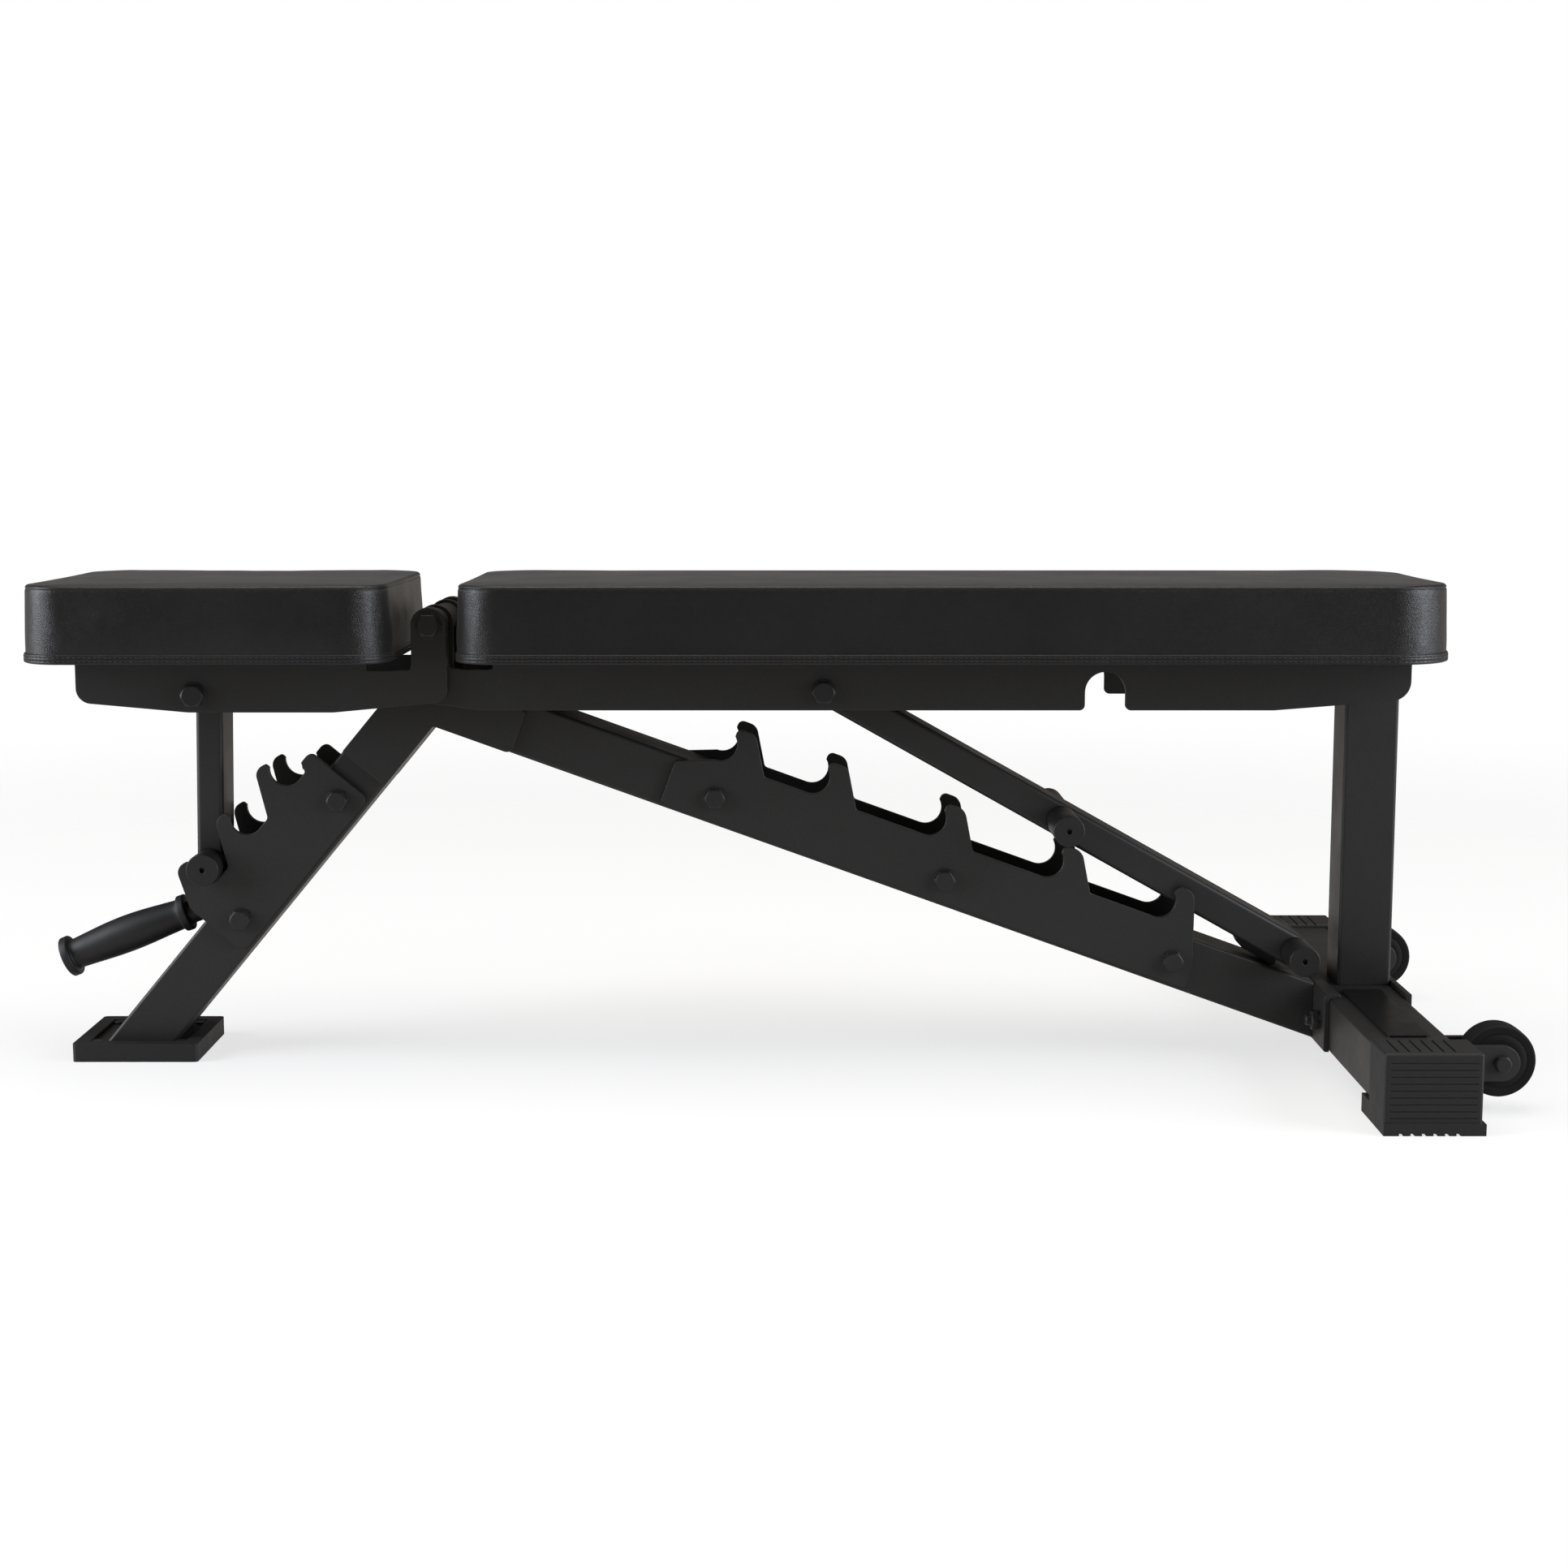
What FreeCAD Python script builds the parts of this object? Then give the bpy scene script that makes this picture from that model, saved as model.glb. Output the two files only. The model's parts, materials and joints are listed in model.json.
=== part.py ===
"""Adjustable ladder bench: floor frame, tilting seat and backrest, and their props.

Units are millimetres. +Z is up, +X runs from the seat to the head end, and the XZ
plane through the origin is the plane of symmetry. "left" is -Y and "right" is +Y.
The origin lies on the floor under the middle of the overall box.
"""
import FreeCAD
import Part
import math
import os
from FreeCAD import Vector

# ---- driving dimensions -------------------------------------------------------
HINGE = (-300.0, 410.0)          # main hinge axis, shared by seat and backrest
APEX = (-311.8, 342.9)           # where the leg and beam centre lines meet
LEG_ANGLE = 50.33                # leg above the floor, degrees
BEAM_ANGLE = 19.8                # beam below the level, degrees

TUBE_WIDTH = 70.0                # leg, beam and cross beam section across Y
TUBE_DEPTH = 50.0
TUBE_WALL = 3.0
TUBE_CORNER = 3.0
PLATE = 6.0                      # ladder and apex plates on the tube sides
LADDER_INNER = TUBE_WIDTH / 2

FOOT_CENTRE = -585.4
FOOT_SIZE = 117.0
FOOT_HEIGHT = 17.0
FOOT_RIM = 13.5
FOOT_FLOOR = 8.0
BASE_PLATE = 6.0

CROSS_FRONT = 523.1              # front face of the rear cross beam
CROSS_LOW = 16.0
CROSS_HIGH = 66.0
CROSS_REAR = CROSS_FRONT + TUBE_WIDTH
CROSS_HALF = 308.0
CLAMP_HALF = 85.0                # half length of the clamp plates
CLAMP_PLATE = 5.0
CLAMP_LIP = 4.0

POST_CENTRE = 567.6
POST_SIZE = 50.0
POST_TOP = 364.0

PAD_LOW = 379.5
PAD_HIGH = 449.5
PAD_HALF_WIDTH = 140.0
PAD_EDGE = 14.0
SEAT_PAD = (-658.9, -331.0)
BACK_PAD = (-272.9, 618.6)
CORNER = 45.0                    # pad corners seen from above
HEAD_CORNER = 60.0
FOAM_YIELD = (22.0, 18.0)        # foam that gives way where the pads meet, along X and down
BOARD = 12.0
BOARD_INSET = 5.0

SEAT_PLATE_INNER = 82.0          # side plates, measured from the middle plane
BACK_PLATE_INNER = 74.0
SIDE_PLATE = 5.0
EAR_RADIUS = 16.0
MOUNT_PLATE = 5.0                # cross plates that carry the pads

MAIN_BOLT_RADIUS = 8.0
SLEEVE_RADIUS = 13.0
STRUT_BOLT_RADIUS = 6.0
RUNNING = 0.05                   # radial clearance of every turning fit
SIDE_GAP = 0.35                  # side clearance between turning faces

SEAT_STRUT_TOP = (-513.7, 346.6)
SEAT_STRUT_WIDTH = 50.0
SEAT_NOTCHES = (135.9, 195.5, 255.2)            # from the apex, down the leg
SEAT_NOTCH_RISE = 55.0
SEAT_PIN_HALF = 60.0
SEAT_PIN_RADIUS = 15.0

BACK_STRUT_TOP = (56.7, 348.8)
BACK_STRUT_WIDTH = 60.0
BACK_STRUT_ANGLE = 29.38
BACK_STRUT_LENGTH = 510.2
BACK_STRUT_MIDDLE = 256.0
BACK_NOTCHES = (273.2, 364.1, 479.5, 596.1, 707.9)   # from the apex, down the beam
BACK_NOTCH_RISE = 49.2
END_PIN_HALF = 75.0
MIDDLE_BAR_HALF = 95.0

NOTCH_RADIUS = 15.5
BACK_PIN_RADIUS = 14.2

WHEEL_CENTRE = (637.9, 44.4)
WHEEL_RADIUS = 31.5
WHEEL_MIDDLE = 222.5
WHEEL_WIDTH = 25.0
WHEEL_BOLT_RADIUS = 4.0

HANDLE_ROOT = (-509.0, 144.2)    # on the front face of the leg
HANDLE_ANGLE = 200.8             # direction of the grip, degrees from +X
HANDLE_GRIP_START = 36.0
HANDLE_LENGTH = 165.3
HANDLE_COLLAR = 17.5
HANDLE_KNOB = 19.0

LADDER_BOLT_RADIUS = 5.0
LADDER_BOLT_HEAD = (17.0, 7.0)   # across flats and height
PIVOT_BOLT_HEAD = (19.0, 7.5)
BADGE = (540.0, 577.0, -237.0, -52.0)   # X and Y ends of the plain plate on the cross beam

SIDES = {"left": -1, "right": 1}
THROUGH = 100.0                  # half length of a cut that passes right through
CURVE_LIMIT = 0.01               # keeps two arcs that meet from closing their line

nodes = {}


# ---- drawing helpers ----------------------------------------------------------
def rounded_wire(corners):
    """Closed wire in the XZ plane from (x, z, radius) corners."""
    bends = []
    for index, (x, z, radius) in enumerate(corners):
        here = Vector(x, 0, z)
        before = corners[index - 1]
        after = corners[(index + 1) % len(corners)]
        back = (Vector(before[0], 0, before[1]) - here).normalize()
        ahead = (Vector(after[0], 0, after[1]) - here).normalize()
        if radius == 0:
            bends.append((here, None, here))
            continue
        half = back.getAngle(ahead) / 2
        middle = (back + ahead).normalize()
        reach = radius / math.tan(half)
        crown = here + middle * (radius / math.sin(half) - radius)
        bends.append((here + back * reach, crown, here + ahead * reach))
    edges = []
    for index, (start, crown, end) in enumerate(bends):
        if crown:
            edges.append(Part.Arc(start, crown, end).toShape())
        following = bends[(index + 1) % len(bends)][0]
        if end.distanceToPoint(following) > 1e-6:
            edges.append(Part.makeLine(end, following))
    return Part.Wire(edges)


def slab(corners, low, high):
    """Flat plate with an XZ outline, from y = low to y = high."""
    face = Part.Face(rounded_wire(corners))
    face.translate(Vector(0, low, 0))
    return face.extrude(Vector(0, high - low, 0))


def side_slab(corners, inner, thickness, side):
    """Plate on one side of the middle plane, side -1 or +1."""
    ends = sorted((side * inner, side * (inner + thickness)))
    return slab(corners, ends[0], ends[1])


def rectangle(x_low, x_high, z_low, z_high, radius=0.0):
    """Corners of a rectangle, all rounded alike."""
    return [(x_low, z_low, radius), (x_high, z_low, radius),
            (x_high, z_high, radius), (x_low, z_high, radius)]


def block(x_low, x_high, y_low, y_high, z_low, z_high):
    """Box between six planes."""
    size = (x_high - x_low, y_high - y_low, z_high - z_low)
    return Part.makeBox(*size, Vector(x_low, y_low, z_low))


def rod(centre, radius, low, high):
    """Cylinder along Y through an (x, z) centre."""
    return Part.makeCylinder(radius, high - low, Vector(centre[0], low, centre[1]), Vector(0, 1, 0))


def hexagon(centre, across_flats, low, high):
    """Hexagonal prism along Y, flats level, with its corners turned off at both ends."""
    reach = across_flats / math.sqrt(3)
    turned = 0.12 * across_flats
    angles = [math.radians(60 * step) for step in range(6)]
    corners = [(centre[0] + reach * math.cos(a), centre[1] + reach * math.sin(a), 0) for a in angles]
    blank = rod(centre, reach, low, high)
    rims = [edge for edge in blank.Edges if edge.BoundBox.YLength < 0.1]
    return slab(corners, low, high).common(blank.makeChamfer(turned / 2, turned, rims))


def cross_bolt(centre, radius, half_length, across_flats, head):
    """Bolt across the bench with a hexagon outside each face at half_length."""
    flange_radius, flange_height = 0.62 * across_flats, 1.5
    parts = [rod(centre, radius, -half_length - head, half_length + head)]
    for side in SIDES.values():
        outside = sorted((side * half_length, side * (half_length + head)))
        crown = hexagon(centre, across_flats, outside[0], outside[1])
        edge = sorted((side * half_length, side * (half_length + flange_height)))
        flange = rod(centre, flange_radius, edge[0], edge[1])
        parts += [crown, flange]
    return parts[0].multiFuse(parts[1:]).removeSplitter()


def tube_section(width, depth, corner):
    """Rounded rectangle in the YZ plane, width along Y and depth along Z."""
    wire = rounded_wire(rectangle(-width / 2, width / 2, -depth / 2, depth / 2, corner))
    wire.rotate(Vector(0, 0, 0), Vector(0, 0, 1), 90)
    return Part.Face(wire)


def box_tube(length, width, depth, wall, corner):
    """Hollow rounded box section along +X."""
    outer = tube_section(width, depth, corner).extrude(Vector(length, 0, 0))
    inner = tube_section(width - 2 * wall, depth - 2 * wall, corner - wall)
    return outer.cut(inner.extrude(Vector(length, 0, 0)))


def aim(shape, start, angle):
    """Turn a shape drawn along +X to an angle above +X and move it to start."""
    turned = shape.copy()
    turned.rotate(Vector(0, 0, 0), Vector(0, 1, 0), -angle)
    turned.translate(Vector(start[0], 0, start[1]))
    return turned


def along(origin, angle, distance, rise):
    """Point at a distance along a direction and a rise to its left."""
    a = math.radians(angle)
    return (origin[0] + distance * math.cos(a) - rise * math.sin(a),
            origin[1] + distance * math.sin(a) + rise * math.cos(a))


def leg_point(distance, rise):
    """Point down the leg from the apex, rise towards the seat side."""
    return along(APEX, 180 + LEG_ANGLE, distance, -rise)


def beam_point(distance, rise):
    """Point down the beam from the apex, rise above its centre line."""
    return along(APEX, -BEAM_ANGLE, distance, rise)


def placed(point_function, corners):
    """Turn (distance, rise, radius) corners into (x, z, radius) ones."""
    return [(*point_function(distance, rise), radius) for distance, rise, radius in corners]


# ---- floor frame --------------------------------------------------------------
def make_tubes():
    """Leg and beam, mitred where they meet and cut level or square at their far ends."""
    mitre = 90 + (LEG_ANGLE - BEAM_ANGLE) / 2
    beyond = Part.makeBox(400, 200, 400, Vector(-200, -100, 0))
    spare = 60.0                     # extra length at each end, trimmed off again
    base_top = FOOT_FLOOR + BASE_PLATE
    leg_length = (APEX[1] - base_top) / math.sin(math.radians(LEG_ANGLE)) + spare
    leg = aim(box_tube(leg_length + spare, TUBE_WIDTH, TUBE_DEPTH, TUBE_WALL, TUBE_CORNER),
              leg_point(leg_length, 0), LEG_ANGLE)
    leg = leg.cut(aim(beyond, APEX, mitre + 180))
    nodes["front_leg"] = leg.cut(block(-800, 0, -THROUGH, THROUGH, -100, base_top))
    beam_end = CROSS_FRONT - CLAMP_PLATE
    beam = aim(box_tube(1000, TUBE_WIDTH, TUBE_DEPTH, TUBE_WALL, TUBE_CORNER),
               beam_point(-spare, 0), -BEAM_ANGLE)
    beam = beam.cut(aim(beyond, APEX, mitre))
    nodes["main_beam"] = beam.cut(block(beam_end, 800, -THROUGH, THROUGH, -200, 300))


def make_apex_plates():
    """Plates that join leg and beam, with the sleeve, bolt and washers of the main hinge."""
    leg_arm, beam_arm, half, beam_rise = 90.0, 94.0, TUBE_DEPTH / 2, 17.0
    mitre = math.radians(90 + (LEG_ANGLE - BEAM_ANGLE) / 2)
    reach = half / math.sin(math.radians((180 - LEG_ANGLE - BEAM_ANGLE) / 2))
    vee = (APEX[0] - reach * math.cos(mitre), APEX[1] - reach * math.sin(mitre))
    ear_left, ear_right = HINGE[0] - EAR_RADIUS, HINGE[0] + EAR_RADIUS
    leg, beam = math.radians(LEG_ANGLE), math.radians(BEAM_ANGLE)
    # Heights where the ear's sides meet the edges of the leg and of the beam.
    shoulder = APEX[1] + (beam_rise - (ear_right - APEX[0]) * math.sin(beam)) / math.cos(beam)
    neck = APEX[1] + (half + (ear_left - APEX[0]) * math.sin(leg)) / math.cos(leg)
    outline = placed(leg_point, [(leg_arm, half, 2), (leg_arm, -half, 2)])
    outline += [(*vee, 3)]
    outline += placed(beam_point, [(beam_arm, -half, 7), (beam_arm, beam_rise, 4)])
    outline += [(ear_right, shoulder, 8), (ear_right, HINGE[1] + EAR_RADIUS, EAR_RADIUS - CURVE_LIMIT),
                (ear_left, HINGE[1] + EAR_RADIUS, EAR_RADIUS - CURVE_LIMIT), (ear_left, neck, 0)]
    for name, side in SIDES.items():
        plate = side_slab(outline, LADDER_INNER, PLATE, side)
        nodes["apex_plate_" + name] = plate.cut(rod(HINGE, SLEEVE_RADIUS, -60, 60))
    inner = BACK_PLATE_INNER - SIDE_GAP
    sleeve = rod(HINGE, SLEEVE_RADIUS, -inner, inner)
    nodes["hinge_sleeve"] = sleeve.cut(rod(HINGE, MAIN_BOLT_RADIUS, -inner, inner))
    outside = SEAT_PLATE_INNER + SIDE_PLATE + SIDE_GAP
    nodes["main_hinge_bolt"] = cross_bolt(HINGE, MAIN_BOLT_RADIUS, outside, *PIVOT_BOLT_HEAD)
    washers = []
    for side in SIDES.values():
        ends = sorted((side * (BACK_PLATE_INNER + SIDE_PLATE + SIDE_GAP),
                       side * (SEAT_PLATE_INNER - SIDE_GAP)))
        washer = rod(HINGE, SLEEVE_RADIUS, ends[0], ends[1])
        washers.append(washer.cut(rod(HINGE, MAIN_BOLT_RADIUS, -100, 100)))
    nodes["hinge_washers"] = Part.makeCompound(washers)


def tooth(centre, rise):
    """Hook just beyond a notch: the notch wall, its tip and its sloping back."""
    lean, wall_top, tip, back = 10.5, 7.0, 19.0, 28.0
    return [(centre, rise - NOTCH_RADIUS, 0), (centre + lean, rise + wall_top, 0),
            (centre + lean, rise + tip, 5.5), (centre + back, rise + tip, 11.0)]


def ladder(name, outline, point_function, notches, rise, bolts):
    """Pair of notched plates bolted through a tube."""
    bolt_points = [point_function(distance, 0) for distance in bolts]
    for side_name, side in SIDES.items():
        plate = side_slab(placed(point_function, outline), LADDER_INNER, PLATE, side)
        for distance in notches:
            plate = plate.cut(rod(point_function(distance, rise), NOTCH_RADIUS, -THROUGH, THROUGH))
        for point in bolt_points:
            plate = plate.cut(rod(point, LADDER_BOLT_RADIUS, -THROUGH, THROUGH))
        nodes[name + "_" + side_name] = plate
    for point in bolt_points:
        for tube in ("front_leg", "main_beam"):
            nodes[tube] = nodes[tube].cut(rod(point, LADDER_BOLT_RADIUS, -THROUGH, THROUGH))
    fasteners = [cross_bolt(point, LADDER_BOLT_RADIUS, LADDER_INNER + PLATE, *LADDER_BOLT_HEAD)
                 for point in bolt_points]
    nodes[name + "_bolts"] = Part.makeCompound(fasteners)


def make_seat_ladder():
    """Three-notch plates on the leg, with a step above the top notch."""
    top, bottom, low_edge, step_end, step_high = 108.9, 296.4, -21.0, 125.5, 48.0
    lean, wall_top, tip, shoulder, crest, valley = 8.6, 8.0, 17.6, 19.0, 22.0, 46.8
    rise = SEAT_NOTCH_RISE
    base = rise - NOTCH_RADIUS
    outline = [(top, low_edge, 8), (top, step_high, 6.2), (step_end, step_high, 5), (step_end, base, 3)]
    for notch in SEAT_NOTCHES:
        outline += [(notch, base, 0), (notch + lean, rise + wall_top, 0), (notch + lean, rise + tip, 2.7),
                    (notch + shoulder, rise + crest, 10)]
        if notch != SEAT_NOTCHES[-1]:
            outline.append((notch + valley, base, 5))
    outline += [(bottom, rise - 13.5, 16), (bottom, low_edge, 8)]
    ladder("seat_ladder", outline, leg_point, SEAT_NOTCHES, rise, (128.3, 274.1))


def make_back_ladder():
    """Five-notch plates on the beam."""
    start, end, low_edge, shelf = 238.9, 759.4, -21.0, 48.5
    rise = BACK_NOTCH_RISE
    base = rise - NOTCH_RADIUS
    outline = [(start, low_edge, 0), (start, 20.5, 5)]
    for notch in BACK_NOTCHES[:-1]:
        outline += tooth(notch, rise) + [(notch + shelf, base, 4)]
    outline += tooth(BACK_NOTCHES[-1], rise) + [(end, 0, 12), (end, low_edge, 0)]
    ladder("back_ladder", outline, beam_point, BACK_NOTCHES, rise, (285.0, 512.4, 739.8))


def make_front_foot():
    """Rubber tray under the leg, the base plate that lies in it, and its four screws."""
    half = FOOT_SIZE / 2
    low, high = FOOT_CENTRE - half, FOOT_CENTRE + half
    corner, screw_inset, screw_radius, screw_bottom, head_radius, head_height = 4.0, 19.0, 3.0, 2.0, 5.0, 2.2
    plate_top = FOOT_FLOOR + BASE_PLATE
    pad = block(low, high, -half, half, 0, FOOT_HEIGHT)
    upright = [edge for edge in pad.Edges if edge.BoundBox.ZLength > FOOT_HEIGHT - 1]
    pad = pad.makeFillet(corner, upright)
    tray = (low + FOOT_RIM, high - FOOT_RIM, FOOT_RIM - half, half - FOOT_RIM)
    plate = block(*tray, FOOT_FLOOR, plate_top)
    pocket = block(*tray, FOOT_FLOOR, FOOT_HEIGHT + 1)
    screws = []
    for side in SIDES.values():
        for x in (low + screw_inset, high - screw_inset):
            foot = Vector(x, side * (half - screw_inset), screw_bottom)
            hole = Part.makeCylinder(screw_radius, FOOT_HEIGHT, foot)
            shank = Part.makeCylinder(screw_radius, plate_top - screw_bottom, foot)
            head = Part.makeCylinder(head_radius, head_height, Vector(foot.x, foot.y, plate_top))
            screws.append(head.fuse(shank))
            plate = plate.cut(hole)
            pocket = pocket.fuse(hole)
    nodes["front_foot_pad"] = pad.cut(pocket)
    nodes["front_base_plate"] = plate
    nodes["front_foot_screws"] = Part.makeCompound(screws)


def make_handle():
    """Lifting handle: a tube coped to the leg, and its moulded grip."""
    core, wall, start, end, cope = 11.0, 2.5, HANDLE_GRIP_START, HANDLE_LENGTH, 12.0
    collar, knob, edge, width, plug = HANDLE_COLLAR, HANDLE_KNOB, 2.5, 8.0, 16.0
    tube = Part.makeCylinder(core, end - plug + cope, Vector(-cope, 0, 0), Vector(1, 0, 0))
    tube = tube.cut(Part.makeCylinder(core - wall, end, Vector(-cope - 1, 0, 0), Vector(1, 0, 0)))
    nodes["handle_tube"] = aim(tube, HANDLE_ROOT, HANDLE_ANGLE).cut(leg_core())
    # Half outline of the grip: inner collar, swelling hand hold and outer knob.
    hold_start, hold_end = start + width, end - width
    swell = Part.BSplineCurve()
    neck, belly, middle = 14.2, 16.4, (start + end) / 2
    swell.interpolate([Vector(hold_start, 0, neck), Vector(middle, 0, belly), Vector(hold_end, 0, neck)])
    points = [Vector(start, 0, core), Vector(start, 0, collar - edge), Vector(start + edge, 0, collar),
              Vector(hold_start - edge, 0, collar), Vector(hold_start, 0, collar - edge),
              Vector(hold_start, 0, neck)]
    tail = [Vector(hold_end, 0, neck), Vector(hold_end, 0, knob - edge), Vector(hold_end + edge, 0, knob),
            Vector(end - edge, 0, knob), Vector(end, 0, knob - edge), Vector(end, 0, 0),
            Vector(end - plug, 0, 0), Vector(end - plug, 0, core), Vector(start, 0, core)]
    edges = [Part.makeLine(a, b) for a, b in zip(points, points[1:])]
    edges.append(swell.toShape())
    edges += [Part.makeLine(a, b) for a, b in zip(tail, tail[1:])]
    grip = Part.Face(Part.Wire(edges)).revolve(Vector(0, 0, 0), Vector(1, 0, 0), 360)
    nodes["handle_grip"] = aim(grip, HANDLE_ROOT, HANDLE_ANGLE)


def leg_core():
    """Solid bar the size of the leg, used to cope the handle tube to it."""
    length = 480.0
    bar = tube_section(TUBE_WIDTH, TUBE_DEPTH, TUBE_CORNER).extrude(Vector(length, 0, 0))
    return aim(bar, leg_point(length, 0), LEG_ANGLE)


def make_cross_beam():
    """Cross beam, the two plates clamped round it, their bolts and the plain badge."""
    tube = box_tube(2 * CROSS_HALF, TUBE_WIDTH, CROSS_HIGH - CROSS_LOW, TUBE_WALL, TUBE_CORNER)
    tube.rotate(Vector(0, 0, 0), Vector(0, 0, 1), 90)
    tube.translate(Vector(CROSS_FRONT + TUBE_WIDTH / 2, -CROSS_HALF, (CROSS_LOW + CROSS_HIGH) / 2))
    lip_reach, bolt_row, bolt_height = 9.5, 65.0, 42.0
    flats, head = LADDER_BOLT_HEAD
    low, top = CROSS_LOW, CROSS_HIGH + CLAMP_LIP
    front = slab([(CROSS_FRONT - CLAMP_PLATE, low, 2), (CROSS_FRONT, low, 0), (CROSS_FRONT, CROSS_HIGH, 0),
                  (CROSS_FRONT + lip_reach, CROSS_HIGH, 0), (CROSS_FRONT + lip_reach, top, 1.5),
                  (CROSS_FRONT - CLAMP_PLATE, top, 3.5)], -CLAMP_HALF, CLAMP_HALF)
    rear = slab(rectangle(CROSS_REAR, CROSS_REAR + CLAMP_PLATE, low, top), -CLAMP_HALF, CLAMP_HALF)
    washer_radius, washer, thread_end = 8.8, 1.5, 5.0
    start, end = CROSS_FRONT - CLAMP_PLATE - washer, CROSS_REAR + CLAMP_PLATE + washer
    bolts = []
    for side in SIDES.values():
        y = side * bolt_row

        def turned(radius, x_low, x_high):
            return Part.makeCylinder(radius, x_high - x_low, Vector(x_low, y, bolt_height), Vector(1, 0, 0))

        shank = turned(LADDER_BOLT_RADIUS, start - head - thread_end, end + head)
        front, rear, tube = front.cut(shank), rear.cut(shank), tube.cut(shank)
        pieces = [turned(washer_radius, start, start + washer), turned(washer_radius, end - washer, end)]
        for x in (start - head, end):
            hexed = hexagon((0, 0), flats, 0, head)
            hexed.rotate(Vector(0, 0, 0), Vector(0, 0, 1), -90)
            hexed.translate(Vector(x, y, bolt_height))
            pieces.append(hexed)
        rims = [edge for edge in shank.Edges if edge.BoundBox.XLength < 0.1]
        bolts.append(shank.makeFillet(1.5, rims).multiFuse(pieces).removeSplitter())
    nodes["rear_cross_beam"] = tube
    nodes["front_clamp_plate"] = front
    nodes["rear_clamp_plate"] = rear
    nodes["clamp_bolts"] = Part.makeCompound(bolts)
    badge_thickness, badge_corner = 2.0, 4.0
    badge = block(*BADGE, CROSS_HIGH, CROSS_HIGH + badge_thickness)
    upright = [edge for edge in badge.Edges if edge.BoundBox.ZLength > badge_thickness - 0.5]
    nodes["badge_plate"] = badge.makeFillet(badge_corner, upright)


def make_post():
    """Post on the cross beam, and the rubber block on it that the backrest lies on."""
    half, inner = POST_SIZE / 2, POST_SIZE / 2 - TUBE_WALL - 0.2
    spigot_depth, block_corner, spigot_corner = 12.0, 4.0, 3.0
    post = box_tube(POST_TOP - CROSS_HIGH, POST_SIZE, POST_SIZE, TUBE_WALL, TUBE_CORNER)
    nodes["rear_post"] = aim(post, (POST_CENTRE, CROSS_HIGH), 90)
    bumper = block(POST_CENTRE - half, POST_CENTRE + half, -half, half, POST_TOP,
                   PAD_LOW - MOUNT_PLATE - SIDE_GAP)
    bumper = bumper.makeFillet(block_corner, [edge for edge in bumper.Edges if edge.BoundBox.ZLength > 5])
    spigot = block(POST_CENTRE - inner, POST_CENTRE + inner, -inner, inner, POST_TOP - spigot_depth, POST_TOP)
    spigot = spigot.makeFillet(spigot_corner, [edge for edge in spigot.Edges if edge.BoundBox.ZLength > 5])
    nodes["post_bumper"] = bumper.fuse(spigot)


def make_rear_foot(name, side):
    """Ribbed end cap with a treaded sole, slipped over the cross beam."""
    foot_end, tip, skirt, cap_end = 313.0, 311.5, 231.0, 258.0
    front, rear, top = 520.6, 603.6, 70.0
    flange, flange_top, corner = 3.0, 10.0, 2.5
    line_low, line_pitch, line_width, line_depth = 14.0, 5.9, 0.9, 0.6
    groove_start, groove_pitch, groove_width, groove_depth = 11.0, 9.6, 2.0, 1.5
    tread_width, tread_depth = 3.6, 2.0
    body = block(front, rear, cap_end, tip, 0, top).fuse(block(front, rear, skirt, tip, 0, CROSS_LOW))
    body = body.removeSplitter()
    upright = [edge for edge in body.Edges if edge.BoundBox.YMin > tip - 0.01 and edge.BoundBox.ZLength > 50]
    rims = [edge for edge in body.Edges if edge.BoundBox.ZMin > top - 0.01]
    body = body.makeFillet(corner, upright + rims)
    body = body.fuse(block(front, rear + flange, skirt, foot_end, 0, flange_top))
    cuts = [block(CROSS_FRONT, CROSS_REAR, skirt - 1, CROSS_HALF, CROSS_LOW, CROSS_HIGH)]
    for step in range(9):
        z = line_low + line_pitch * step
        cuts.append(block(front + 5, rear - 5, tip - line_depth, tip + 1, z, z + line_width))
    for step in range(6):
        x = front + groove_start + groove_pitch * step
        tread = x + groove_width
        cuts.append(block(x, tread, cap_end - 1, tip - 7, top - groove_depth, top + 1))
        cuts.append(block(tread, tread + tread_width, skirt - 1, foot_end + 1, -1, tread_depth))
    foot = body.cut(cuts)
    if side < 0:
        foot = foot.mirror(Vector(0, 0, 0), Vector(0, 1, 0))
    nodes["rear_foot_cap_" + name] = foot


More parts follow.
